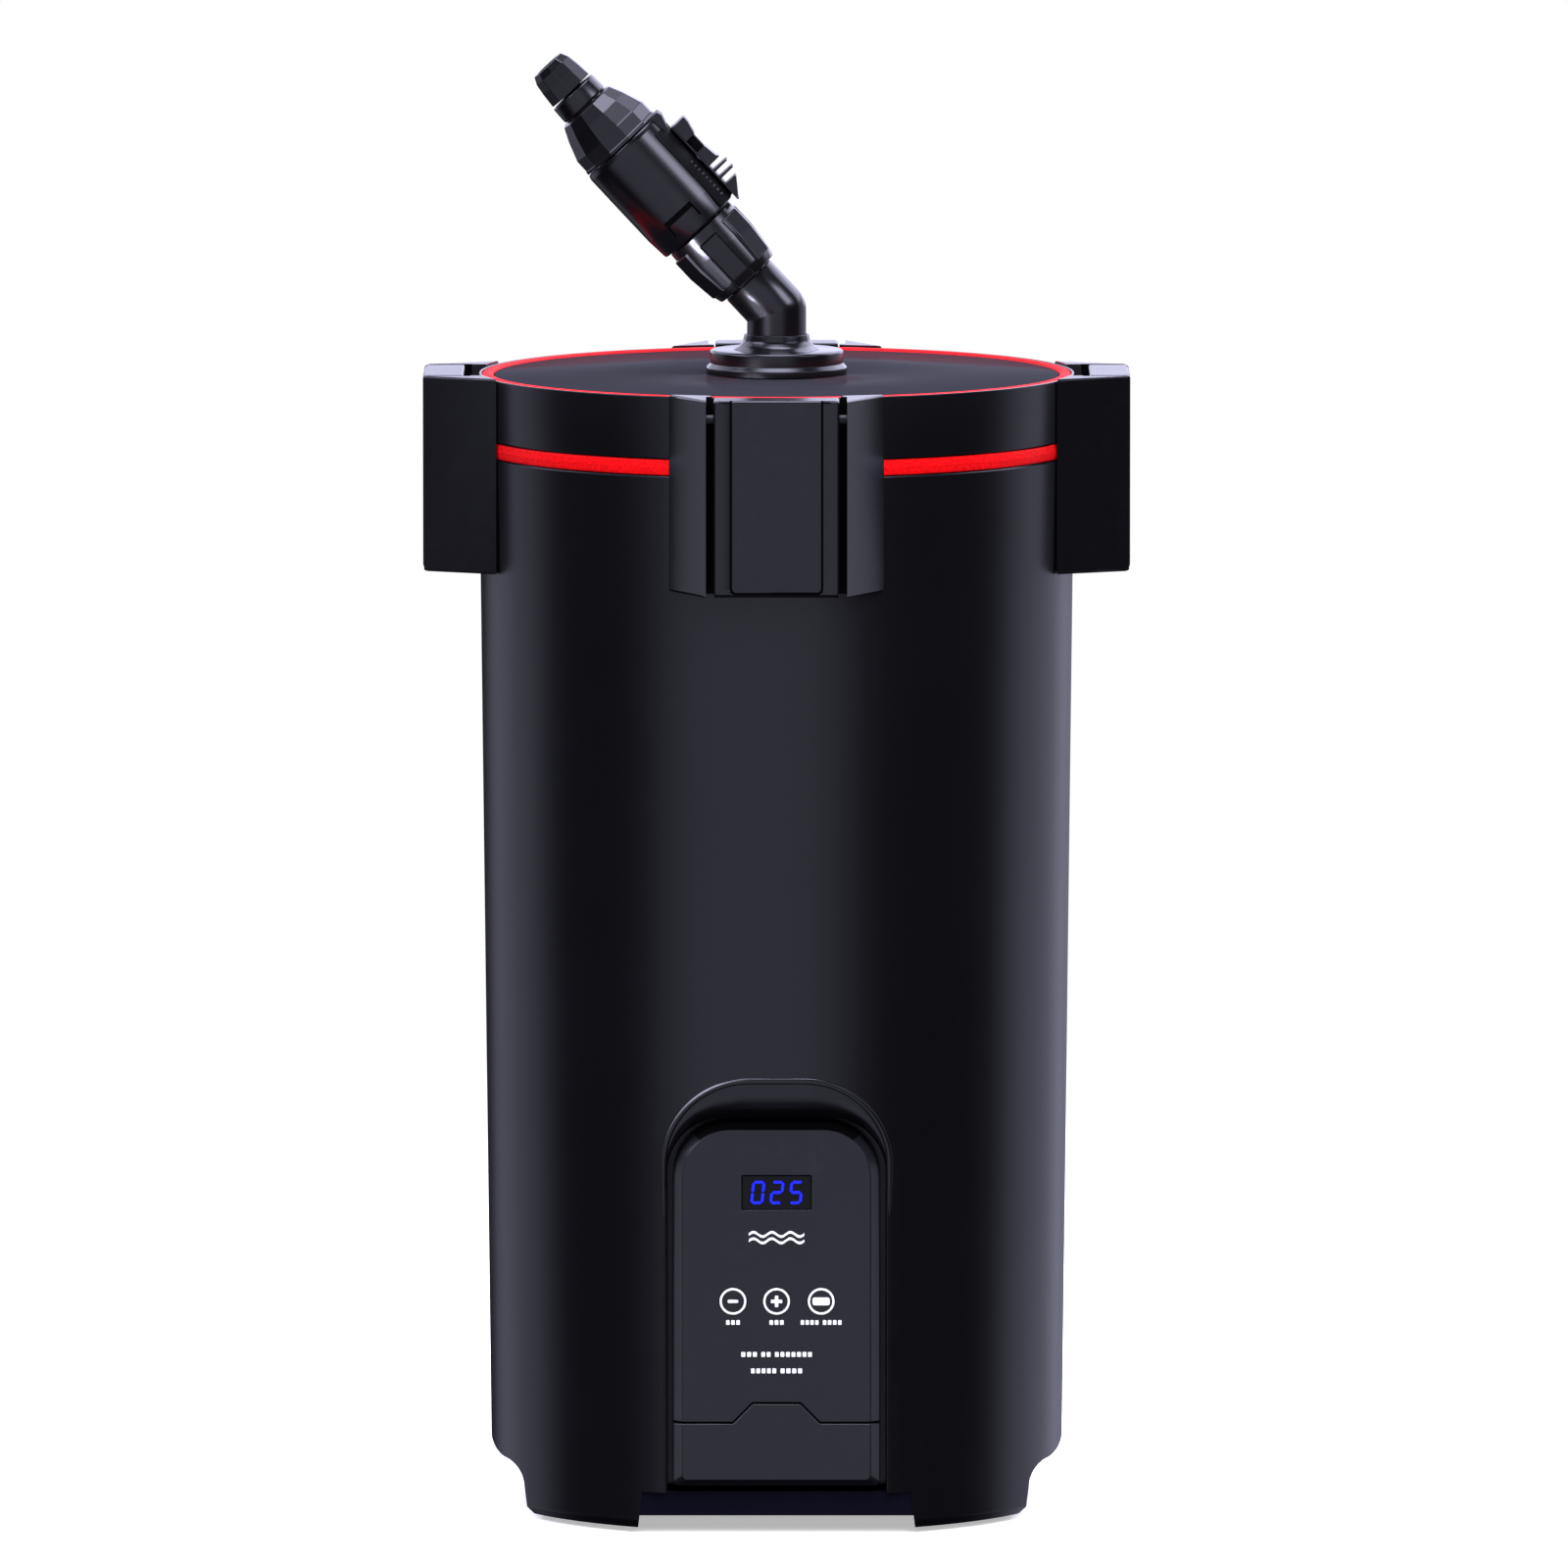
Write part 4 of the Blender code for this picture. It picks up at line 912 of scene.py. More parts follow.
def make_elbow():
    """A mitred pipe: the outer side of the bend is round and the inner side is a crease."""
    steps, bends = 64, 10
    ring = circle(PIPE_RADIUS, steps=steps)

    def section(turned, along, radius=PIPE_RADIUS):
        frame = Matrix.Translation((0, 0, BEND_Z)) @ Matrix.Rotation(-turned, 4, "Y")
        share = radius / PIPE_RADIUS
        return [tuple(frame @ Vector((x * share, y * share, along))) for x, y in ring]

    rings = [section(0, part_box("port_elbow")[0].z - BEND_Z + 0.0002, 0.0119)]
    rings += [section(0, -0.0001 * i) for i in (300, 20, 0)]
    rings += [section(TILT * i / bends, 0) for i in range(1, bends + 1)]
    rings += [section(TILT, 0.002), section(TILT, 0.0164), section(TILT, 0.0169, 0.0117)]
    pipe = smooth(skin("elbow_pipe", rings), 50)
    place(pipe, "elbow", TAP_BLACK, "port_elbow")
    stub = [(0.0066, 0.016), (0.009, 0.016), (0.009, 0.024, 0.0004), (0.0066, 0.024, 0.0003)]
    fit(smooth(lathe("elbow_stub", rounded(stub), 64)), "elbow")
    flange = [(0.0066, 0.4489), (0.0146, 0.4489, 0.0004), (0.0146, 0.452, 0.0004), (0.0066, 0.452)]
    flange = smooth(lathe("elbow_flange", rounded(flange), 64))
    place(flange, "elbow", TAP_BLACK, slot="tap_plastic")


def make_coupling():
    """The quick coupling's socket, with a press tab that faces the front and raised pads beside it."""
    low, high = 0.0175, 0.0457
    profile = [
        (0.0093, high, 0.0003), (0.016, high, 0.0006), (0.0163, 0.0345, 0.01), (0.0153, 0.0215, 0.006),
        (0.0142, low, 0.0008), (0.0093, low, 0.0003),
    ]
    socket = lathe("socket_skin", rounded(profile, steps=6), 96)
    opening = [(-0.0046, 0.0163), (0.0046, 0.0163), (0.0046, 0.0412, 0.0008), (-0.0046, 0.0412, 0.0008)]
    cut(socket, prism("tab_window", rounded(opening), -0.02, -0.0106, "XZ"))
    fit(mould(socket), "elbow", node="coupling_socket")
    outline = [
        (-0.0145, 0.018), (-0.0156, 0.0215, 0.006), (-0.0165, 0.0345, 0.01), (-0.0164, 0.0407, 0.0005),
        (-0.0121, 0.0407), (-0.0121, 0.018),
    ]
    tab = prism("release_pad", rounded(outline, 0.0004, 5), -0.0041, 0.0041, "YZ")
    fit(soften(tab, 0.0004, 3, 40), "release", node="release_tab")
    for index, angle in enumerate((51, 130, 230, 305)):
        side = [
            (-0.0135, 0.02, 0.0005), (-0.0158, 0.0212, 0.001), (-0.0174, 0.033, 0.006),
            (-0.0174, 0.0425, 0.0008), (-0.014, 0.0425), (-0.0115, 0.02),
        ]
        pad = prism(f"socket_pad_{index}", rounded(side, 0.0003, 4), -0.0046, 0.0046, "YZ")
        fit(soften(pad, 0.0006, 3, 40), "elbow", turn=math.radians(angle))


def shade_sheet_ring(z, radius):
    """One section of the thin saddle-shaped sheet of painted shade that lies on the tap's body under the
    lever.
    """
    reach, steps = math.radians(47), 24
    angles = [reach * (2 * i / steps - 1) for i in range(steps + 1)]
    outer = [(radius * math.cos(a), radius * math.sin(a), z) for a in angles]
    return outer + [(0.018 * math.cos(a), 0.018 * math.sin(a), z) for a in reversed(angles)]


def make_tap_body():
    """The tap: a stepped barrel with a groove at its foot, painted shade in that groove and as a thin sheet
    under the lever, and a lip under the lever.
    """
    profile = [
        (0.013, 0.092, 0.0004), (TAP_RADIUS - 0.0005, 0.092, 0.0008), (TAP_RADIUS, 0.09, 0.001),
        (TAP_RADIUS, 0.056, 0.003), (TAP_RADIUS - 0.0007, 0.0463, 0.0008), (0.009, 0.0462, 0.0003),
        (0.009, 0.0262, 0.0004), (0.0064, 0.0262, 0.0003), (0.0064, 0.054, 0.001), (0.013, 0.054, 0.001),
    ]
    body = lathe("tap_barrel", rounded(profile, steps=5), 128)
    left, right, near, far = -0.0088, 0.0055, 0.0506, 0.0577
    outer = [(left, near), (right, near), (right, far), (left, far)]
    (low_x, high_x), (low_z, high_z) = (left + 0.0008, right - 0.0008), (near - 0.001, far - 0.0024)
    inner = [(low_x, low_z), (high_x, low_z), (high_x, high_z), (low_x, high_z)]
    groove = prism("tab_groove", rounded(outer, 0.0003), -0.025, -0.0155, "XZ")
    bake(cut(groove, prism("tab_keep", rounded(inner, 0.0003), -0.03, -0.01, "XZ")))
    cut(body, groove, rod("stem_hole", 0.0031, (0.01, 0, BALL_AT), (0.025, 0, BALL_AT), 40))
    fit(mould(body), "tap", node="tap_body")

    # The groove's faces, which get painted shade.
    def in_groove_shade(point):
        inside = left - 0.0002 < point.x < right + 0.0002 and near - 0.0002 < point.z < far + 0.0002
        return inside and point.y < 0 and math.hypot(point.x, point.y) < 0.018

    paint_shade(body, in_groove_shade)
    # A thin saddle-shaped sheet of painted shade on the body under the lever.
    sections = ((0.047, 0.0191), (0.0474, 0.0193), (0.0862, 0.0193), (0.0866, 0.0191))
    saddle = skin("tap_saddle", [shade_sheet_ring(z, radius) for z, radius in sections])
    fit(smooth(saddle, 40), "tap", PAINTED_SHADE_BLACK)
    lip = [
        (0.013, 0.0845, 0.0003), (0.0185, 0.0845, 0.0006), (0.0204, 0.0905, 0.0005),
        (0.0198, 0.0926, 0.0006), (0.013, 0.0926, 0.0003),
    ]
    fit(soften(prism("tap_lip", rounded(lip, steps=4), -0.009, 0.006, "XZ"), 0.0005), "tap", INNER)


def faceted(name, sections, sides, start, bore):
    """A many-sided turned piece: sections of (radius, height) from low to high, with a round bore."""
    angles = [start + 2 * math.pi * i / sides for i in range(sides)]
    piece = skin(name, [[(r * math.cos(a), r * math.sin(a), z) for a in angles] for r, z in sections])
    ends = ((0, 0, sections[0][1] - 0.01), (0, 0, sections[-1][1] + 0.01))
    return bake(cut(piece, rod(f"{name}_bore", bore, *ends, 48)))


def make_hose_tail():
    """The hose end: a many-sided tip, a plain ring, and the threaded neck inside the nut."""
    ring = [
        (0.0055, 0.114), (0.0104, 0.114, 0.0004), (0.0108, 0.115, 0.0006), (0.0106, 0.1215, 0.0007),
        (0.0055, 0.1219),
    ]
    fit(smooth(lathe("hose_ring", rounded(ring, 0.0002), 64), 40), "tap", node="hose_tail")
    sections = [(0.0104, 0.1225), (0.0098, 0.129), (0.0091, 0.1335), (0.0076, 0.1364)]
    fit(soften(faceted("hose_tip", sections, 10, math.radians(18), 0.0056), 0.0005, 3, 20), "tap")
    neck = [(0.0055, 0.0805), (0.0127, 0.0805, 0.0003), (0.0127, 0.0918, 0.0003), (0.008, 0.0922, 0.0003)]
    for i in range(6):
        z = 0.0945 + 0.003 * i
        neck += [(0.008, z, 0.0002), (0.0087, z + 0.0007, 0.0002), (0.008, z + 0.0014, 0.0002)]
    neck += [(0.008, 0.1142, 0.0002), (0.0055, 0.1142, 0.0002)]
    fit(smooth(lathe("hose_neck", rounded(neck, 0.0002), 64), 40), "tap")


def make_nut():
    """The clamping nut: a many-sided cone with two thin steps where it meets the tap."""
    sections = [
        (0.0188, 0.0926), (0.0188, 0.0938), (0.0184, 0.0942), (0.0184, 0.0996), (0.0181, 0.1003),
        (0.0155, 0.1075), (0.0129, 0.113), (0.0112, 0.1137),
    ]
    nut = faceted("nut_cone", sections, 12, math.radians(15), 0.01)
    fit(soften(nut, 0.0006, 3, 14), "nut", node="hose_nut")


def make_lever():
    """The tap's lever: a bar with a wedge, two grip ribs, a block, a recess filled with a block of painted
    shade, and a knob.
    """
    foot = 0.02
    parts = {
        "lever_bar": (
            INNER, 0.006, 0.0003, 0.0002,
            [(0.0195, 0.044), (0.0195, 0.0838), (0.0203, 0.0838), (0.0203, 0.044)],
        ),
        "lever_wedge": (
            INNER, 0.0058, 0.0004, 0.0004,
            [(foot, 0.0442), (foot, 0.052), (0.0258, 0.052), (0.025, 0.0508)],
        ),
        "lever_block": (
            TAP_BLACK, 0.0056, 0.0004, 0.0004,
            [(foot, 0.0618), (foot, 0.0692), (0.0245, 0.0692), (0.0252, 0.0634), (0.0264, 0.062)],
        ),
        # A black block that paints the shade of the recess.
        "lever_recess": (
            PAINTED_SHADE_BLACK, 0.0036, 0.0004, 0.0004,
            [(foot, 0.0685), (foot, 0.0762), (0.0242, 0.0762), (0.0242, 0.0685)],
        ),
        "lever_knob": (
            TAP_BLACK, 0.0062, 0.0005, 0.0006,
            [(foot, 0.0752), (foot, 0.0836), (0.0264, 0.0838), (0.0262, 0.0812), (0.0248, 0.0754)],
        ),
    }
    for i, z in enumerate((0.055, 0.0586)):
        outline = [(foot, z - 0.0002), (foot, z + 0.001), (0.0272, z + 0.0008), (0.0272, z)]
        parts[f"lever_rib_{i}"] = (INNER, 0.0058, 0.0003, 0.0002, outline)
    for name, (material, half, corner, edge, outline) in parts.items():
        piece = prism(name, rounded(outline, corner, 4), -half, half, "XZ")
        fit(soften(piece, edge), "tap_handle", material, "tap_lever" if name == "lever_bar" else None)
    teeth = []
    for i in range(9):
        z = 0.05 + 0.0022 * i
        outline = [(0.016, z), (0.016, z + 0.0011), (0.0171, z + 0.0009), (0.0171, z + 0.0002)]
        teeth.append(prism(f"lever_tooth_{i}", outline, -0.0106, -0.0088, "XZ"))
    # The teeth carry the painted-highlight rib material.
    fit(soften(merge("tap_saddle_teeth", teeth), 0.0002, 2), "tap", RIB_PAINTED_HIGHLIGHT)
    stem = [(0, 0.013), (0.0028, 0.013, 0.0003), (0.0028, 0.02), (0, 0.02)]
    stem = lathe("lever_stem", rounded(stem), 40)
    stem.matrix_world = TAP @ Matrix.Translation((0, 0, BALL_AT)) @ Matrix.Rotation(math.pi / 2, 4, "Y")
    place(smooth(stem), "tap_handle", STEEL, slot="tap_plastic")


def merge(name, objs):
    """Joins separate bodies into one object's mesh."""
    bm = bmesh.new()
    for obj in objs:
        start = len(bm.verts)
        bm.from_mesh(obj.data)
        bmesh.ops.transform(bm, matrix=obj.matrix_world, verts=list(bm.verts)[start:])
        bpy.data.objects.remove(obj, do_unlink=True)
    return solid(name, bm)


# ---------------------------------------------------------------- controller


def window(half, top, corner, bottom, foot, depth, steps=14):
    """A ring in x and z at one depth: large upper corners and small lower ones."""
    corners = [(half, bottom, foot), (half, top, corner), (-half, top, corner), (-half, bottom, foot)]
    return [(x, depth, z) for x, z in rounded(corners, steps=steps)]


def case_mesh(name):
    """The controller's whole shell: a flat face, a chamfer all round and a shoulder, hollow behind."""
    face, shoulder = FACE_Y, SHOULDER_Y
    outer = (0.0419, 0.168, 0.023, CASE_BOTTOM, 0.0025)
    flat = (0.0377, 0.1653, 0.019, 0.0236, 0.0022)

    def between(share):
        return [a + (b - a) * share for a, b in zip(flat, outer)]

    rings = [
        (between(-0.08), face), (between(0.05), face + 0.00008), (between(0.14), face + 0.00035),
        (between(0.86), shoulder - 0.0006), (between(0.96), shoulder - 0.00005), (outer, shoulder + 0.0006),
        (outer, -0.0958),
    ]
    shell = skin(name, [window(*size, depth) for size, depth in rings])
    small, large = (0.037, 0.1625, 0.018, 0.026, 0.0015), (0.0392, 0.1653, 0.0203, 0.023, 0.0015)
    rings = [(small, face + 0.0022), (large, shoulder + 0.0022), (large, -0.09)]
    return cut(shell, skin(f"{name}_hollow", [window(*size, depth) for size, depth in rings]))


def split_outline(raise_by=0.0):
    """The lower cover's outline: a straight upper edge with a raised tab at its middle."""
    z, tab = PARTING + raise_by, 0.0542 + raise_by
    half = 0.06
    points = [(-half, 0, 0), (half, 0, 0), (half, z, 0), (0.0176, z, 0.001), (0.0097, tab, 0.001)]
    return rounded(points + [(-0.0097, tab, 0.001), (-0.0176, z, 0.001), (-half, z, 0)])


def edge_round(obj, width=0.0003):
    """Bevels the crisp edges that a Boolean left, without touching the moulded curves."""
    edges = soften(obj, width, 2, 55).modifiers["edges"]
    edges.use_clamp_overlap = False
    return obj


def ink(name, outlines, body, depth, material=INK_WITH_PAINTED_GLOW):
    """Thin raised print on the controller's face: one or more outlines in x and z."""
    near, far = depth - 0.00012, depth + 0.0002
    marks = [prism(f"{name}_{i}", points, near, far, "XZ") for i, points in enumerate(outlines)]
    piece = merge(name, marks)
    edge = piece.modifiers.new("edges", "BEVEL")
    edge.width = 0.00004
    edge.segments = 1
    return place(piece, body, material, slot="display")


def ring_print(name, radius, width, centre, body, depth):
    """A thin printed ring round a point in x and z."""
    inner, top = radius - width, 0.0001
    profile = [(inner, -0.0002), (radius, -0.0002), (radius, top, 0.00005), (inner, top, 0.00005)]
    piece = smooth(lathe(name, rounded(profile, 0), 64), 50)
    at = (centre[0], depth, centre[1])
    piece.matrix_world = Matrix.Translation(at) @ Matrix.Rotation(math.pi / 2, 4, "X")
    return place(piece, body, INK_WITH_PAINTED_GLOW, slot="display")


def bar(x, z, width, height, corner=None):
    """A rounded rectangle; without a corner radius its short ends are nearly round."""
    half_w, half_h = width / 2, height / 2
    corner = min(half_w, half_h) * 0.98 if corner is None else corner
    signs = ((-1, -1), (1, -1), (1, 1), (-1, 1))
    return rounded([(x + a * half_w, z + b * half_h, corner) for a, b in signs], steps=5)


def plus_outline(x, z, reach, half):
    points = [(reach, -half), (reach, half), (half, half), (half, reach), (-half, reach), (-half, half)]
    points += [
        (-reach, half), (-reach, -half), (-half, -half), (-half, -reach), (half, -reach), (half, -half),
    ]
    return rounded([(x + a, z + b) for a, b in points], 0.0002, 2)


SEGMENTS = {"0": "abcdef", "2": "abged", "5": "afgcd"}


def digit(glyph, x, z, width, height, stroke, slant=0.1):
    """The lit segments of one display digit, each a six-sided bar, leaning a little to the right."""
    middle, gap = height / 2, stroke * 0.14
    ends = {
        "a": ((0, height), (width, height)),
        "b": ((width, height), (width, middle)),
        "c": ((width, middle), (width, 0)),
        "d": ((0, 0), (width, 0)),
        "e": ((0, 0), (0, middle)),
        "f": ((0, middle), (0, height)),
        "g": ((0, middle), (width, middle)),
    }
    made = []
    for key in SEGMENTS[glyph]:
        start, end = (Vector(p) for p in ends[key])
        along = (end - start).normalized()
        across = Vector((-along.y, along.x)) * stroke / 2
        start, end = start + along * gap, end - along * gap
        tip = along * stroke / 2
        corners = [
            start, start + tip + across, end - tip + across, end, end - tip - across, start + tip - across,
        ]
        made.append([(x + p.x + slant * p.y, z + p.y) for p in corners])
    return made


def middle(node):
    """The middle of a CAD node's box."""
    low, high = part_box(node)
    return (low + high) / 2


def make_controller():
    """The controller: upper and lower cover, window, lit digits, three buttons and printed marks."""
    cover = case_mesh("controller_face")
    cut(
        cover, prism("cover_split", split_outline(0.0007), -0.13, -0.08, "XZ"),
        prism("window_hole", bar(0, 0.14015, 0.0281, 0.0141, 0.0006), -0.12, -0.1, "XZ"),
    )
    for name in BUTTONS:
        x = middle(name).x
        cut(cover, rod(f"{name}_hole", 0.0056, (x, -0.12, BUTTON_Z), (x, -0.1, BUTTON_Z), 46))
    place(edge_round(mould(cover, 30)), "controller", CASE, "controller_cover")
    # Painted shade: the top chamfer of the cover is given flat black.
    paint_shade(cover, lambda p: p.z > 0.1625 and p.y > FACE_Y + 0.0007)
    foot = case_mesh("controller_foot")
    common(foot, prism("lower_split", split_outline(), -0.13, -0.08, "XZ"))
    place(edge_round(mould(foot, 30), 0.0006), "controller", CASE, "controller_lower_cover")

    low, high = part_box("display_window")
    outline = bar((low.x + high.x) / 2, (low.z + high.z) / 2, high.x - low.x, high.z - low.z, 0.0004)
    glass = soften(prism("display_glass", outline, low.y, high.y, "XZ"), 0.0002, 2)
    place(glass, "controller", DISPLAY, "display_window")
    height, width, pitch = 0.0084, 0.0042, 0.0077
    start = -pitch - width / 2 - 0.0003
    for index, glyph in enumerate("025"):
        segments = digit(glyph, start + pitch * index, low.z + 0.0026, width, height, 0.00105)
        ink(f"digit_{index}", segments, "controller", low.y, material=BLUE)

    profile = [
        (0, 0.006), (0.0053, 0.006, 0.0005), (0.0053, 0.001, 0.0002), (0.002, 0.001), (0.002, -0.0012),
        (0, -0.0012),
    ]
    for name, body in BUTTONS.items():
        x, depth = middle(name).x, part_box(name)[0].y
        cap = lathe(f"{name}_cap", rounded(profile, 0.0001, 4, closed=False), 64)
        cap.matrix_world = Matrix.Translation((x, -0.1062, BUTTON_Z)) @ Matrix.Rotation(math.pi / 2, 4, "X")
        place(smooth(cap, 40), body, CASE, name)
        ring_print(f"{name}_ring", 0.0054, 0.0009, (x, BUTTON_Z), body, depth)
        icons = {
            "button_minus": [bar(x, BUTTON_Z, 0.0044, 0.0013)],
            "button_plus": [plus_outline(x, BUTTON_Z, 0.0023, 0.0007)],
            "button_mode": [bar(x, BUTTON_Z, 0.007, 0.0032, 0.0009)],
        }
        ink(f"{name}_icon", icons[name], body, depth)

    for name, x, z, words, height in (
        ("caption_minus", -0.0176, 0.0874, (0.0062,), 0.0019),
        ("caption_plus", 0.0, 0.0874, (0.0064,), 0.0019),
        ("caption_mode", 0.018, 0.0874, (0.0078, 0.0082), 0.0019),
        ("caption_upper", 0.0, 0.0744, (0.007, 0.0044, 0.0156), 0.002),
        ("caption_lower", 0.0, 0.0677, (0.0108, 0.0094), 0.002),
    ):
        space = 0.0011
        at = x - (sum(words) + space * (len(words) - 1)) / 2
        dashes = []
        for word in words:
            count = max(2, round(word / 0.0022))
            pitch = word / count
            dashes += [bar(at + pitch * (i + 0.5), z, pitch * 0.72, height, 0.0003) for i in range(count)]
            at += word + space
        ink(name, dashes, "controller", FACE_Y)

    waves = []
    for row in range(2):
        points = [(-0.0112 + 0.0224 * i / 36, 0.0009 * math.sin(math.radians(30 * i))) for i in range(37)]
        centre = 0.1232 - 0.0026 * row
        upper = [(x, centre + z + 0.00055) for x, z in points]
        waves.append(upper + [(x, centre + z - 0.00055) for x, z in reversed(points)])
    ink("wave_mark", waves, "controller", FACE_Y)


# ---------------------------------------------------------------- baskets and media


def wall_grid(name, rings, open_cell, thickness):
    """A round wall as a grid of cells, some left open, with real thickness."""
    steps = 144
    bm = bmesh.new()
    rows = [[bm.verts.new((r * c, r * s, z)) for c, s in circle(1, steps=steps)] for r, z in rings]
    for row, (near, far) in enumerate(zip(rows, rows[1:])):
        for i in range(steps):
            if not open_cell(row, i):
                j = (i + 1) % steps
                bm.faces.new((near[i], near[j], far[j], far[i]))
    lone = [v for v in bm.verts if not v.link_faces]
    bmesh.ops.delete(bm, geom=lone, context="VERTS")
    obj = solid(name, bm)
    shell = obj.modifiers.new("wall", "SOLIDIFY")
    shell.thickness = thickness
    shell.offset = -1
    bake(obj)
    return edge_round(obj, 0.0003)


def make_basket(name, body):
    """One media basket: a slotted floor, a wall with windows, a rim and a hub."""
    low, high = (corner.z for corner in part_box(f"basket_{name}"))
    radius = 0.113
    thick, edges = 0.0022, (0.016, 0.028, 0.046, 0.05, 0.07, 0.074, 0.096, radius - 0.0022)
    rows = [(edge, low + 0.0004) for edge in edges]

    def slot(row, i):
        return row in (1, 3, 5) and i % 6 in (1, 2, 3, 4)

    def gap(row, i):
        return row in (1, 3) and i % 4 in (1, 2)

    floor = wall_grid(f"basket_floor_{name}", rows, slot, thick)
    levels = ((0.002, 0), (0.0016, 0.01), (0.0012, 0.028), (0.001, 0.034), (0.0005, 0.054))
    sides = [(radius - inset, low + rise) for inset, rise in levels] + [(radius, high - 0.0034)]
    wall = wall_grid(f"basket_wall_{name}", sides, gap, thick)
    inner, outer = radius - 0.0026, radius + 0.0008
    lip = [
        (inner, high - 0.0045), (inner, high, 0.0005), (outer, high, 0.0006), (outer, high - 0.003, 0.0005),
        (radius, high - 0.0045),
    ]
    rim = lathe(f"basket_rim_{name}", rounded(lip, 0.0003))
    base, top = low + 0.0004, low + 0.0028
    ring = [(0.005, base), (0.0175, base, 0.0004), (0.0175, top, 0.0005), (0.005, top, 0.0004)]
    hub = lathe(f"basket_hub_{name}", rounded(ring), 64)
    place(floor, body, BASKET, f"basket_{name}")
    for piece in (wall, smooth(rim, 40), smooth(hub, 40)):
        place(piece, body, BASKET, slot="basket_plastic")


def make_ceramic(rng):
    """A bed of loose ceramic tubes: each is a short rough ring, tumbled at its own angle."""
    low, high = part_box("media_ceramic")
    reach = high.x - 0.0075
    wall = [(0.0026, -0.0065), (0.0062, -0.0065), (0.0062, 0.0065), (0.0026, 0.0065)]
    unit = lathe("ceramic_unit", rounded(wall, 0.0008, 2), 14)
    bm = bmesh.new()
    layers, pitch = 4, 0.0136
    for layer in range(layers):
        z = low.z + 0.0075 + (high.z - low.z - 0.015) * layer / (layers - 1)
        rows = int(reach // pitch) + 1
        for row in range(-rows, rows + 1):
            for column in range(-rows, rows + 1):
                x = pitch * (column + 0.5 * ((row + layer) % 2)) + rng.uniform(-0.0014, 0.0014)
                y = pitch * 0.9 * row + rng.uniform(-0.0014, 0.0014)
                turn = Matrix.Rotation(rng.uniform(0, math.pi), 4, "Z")
                turn = turn @ Matrix.Rotation(rng.uniform(0.3, 1.57), 4, "X")
                lift = rng.uniform(-0.0008, 0.0008)
                if math.hypot(x, y) > reach:
                    continue
                start = len(bm.verts)
                bm.from_mesh(unit.data)
                bm.verts.ensure_lookup_table()
                spot = Matrix.Translation((x, y, z + lift)) @ turn
                bmesh.ops.transform(bm, matrix=spot, verts=bm.verts[start:])
    bpy.data.objects.remove(unit, do_unlink=True)
    place(smooth(solid("ceramic_bed", bm), 40), "basket_a", CERAMIC, "media_ceramic")


def soft_pad(name, node, body, material, crown, rough, scale, seed, layers=1):
    """A soft round pad: a dense disc, crowned, pulled in between its layers and roughened by noise."""
    low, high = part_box(node)
    radius, thick = high.x - 0.0012, high.z - low.z
    steps, rise, rings = 168, 22, 46
    profile = [(radius * i / rings * 0.985, high.z) for i in range(rings)]
    for i in range(rise + 1):
        share = i / rise
        fold = abs(math.sin(math.pi * share * layers)) ** 0.5
        profile.append((radius - 0.003 * (1 - fold), high.z - thick * share))
    profile += [(radius * i / rings * 0.985, low.z) for i in range(rings, -1, -4)]
    profile[-1] = (0, low.z)
    pad = lathe(name, profile, steps)
    origin = Vector((seed * 7.3, seed * 3.1, seed))
    for vertex in pad.data.vertices:
        point = vertex.co
        away = math.hypot(point.x, point.y) / radius
        height = (point.z - low.z) / thick
        swell = crown * (1 - min(away, 1) ** 4) * height - 0.0022 * max(away - 0.9, 0) * 10 * height
        broad = noise.noise(point * 28 + origin)
        fine = noise.noise(point * scale + origin)
        out = Vector((point.x, point.y, 0)).normalized() * (rough * fine * min(1, away * away))
        lift = swell - crown - 0.0006 + (0.0011 * broad + rough * fine) * height
        vertex.co = point + out + Vector((0, 0, lift))
    place(smooth(pad, 180), body, material, node)


def fibres(name, node, body, material, count, rng):
    """Loose fibres that stand out of a floss pad's upper face and edge."""
    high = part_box(node)[1]
    radius = high.x - 0.004
    bm = bmesh.new()
    for _ in range(count):
        angle, away = rng.uniform(0, 2 * math.pi), radius * math.sqrt(rng.random())
        heading, length = rng.uniform(0, 2 * math.pi), rng.uniform(0.006, 0.016)
        bend = rng.uniform(-0.8, 0.8)
        size = rng.uniform(0.0001, 0.00018)
        at = Vector((away * math.cos(angle), away * math.sin(angle), high.z - 0.0018))
        rows = []
        for i in range(6):
            share = i / 5
            point = at + Vector((math.cos(heading), math.sin(heading), 0)) * length * (share - 0.5)
            point.z += 0.0013 * math.sin(math.pi * share)
            heading += bend / 5
            side = Vector((-math.sin(heading), math.cos(heading), 0)) * size
            up = Vector((0, 0, size))
            rows.append([bm.verts.new(point + p) for p in (side, up, -side)])
        for near, far in zip(rows, rows[1:]):
            for i in range(3):
                j = (i + 1) % 3
                bm.faces.new((near[i], near[j], far[j], far[i]))
    place(solid(name, bm), body, material, slot="fine_floss")


def make_handle():
    """The carrying bail: a round half loop, thicker and finely ribbed at its middle."""
    low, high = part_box("basket_handle")
    pivot, width, reach = (low.z + high.z) / 2, high.x - 0.0021, high.y - 0.0021
    steps = 48
    path, sizes = [], []
    for i in range(steps + 1):
        angle = math.pi * i / steps
        path.append((width * math.cos(angle), reach * math.sin(angle), pivot))
        middle = max(0.0, 1 - abs(i - steps / 2) / (steps * 0.16))
        sizes.append(0.0017 + 0.0004 * min(1, middle * 4) + (0.00008 * (i % 2) if middle else 0))
    bail = smooth(tube("carry_bail", path, sizes, (0, 0, 1), 24), 60)
    place(bail, "handle", RED, "basket_handle")


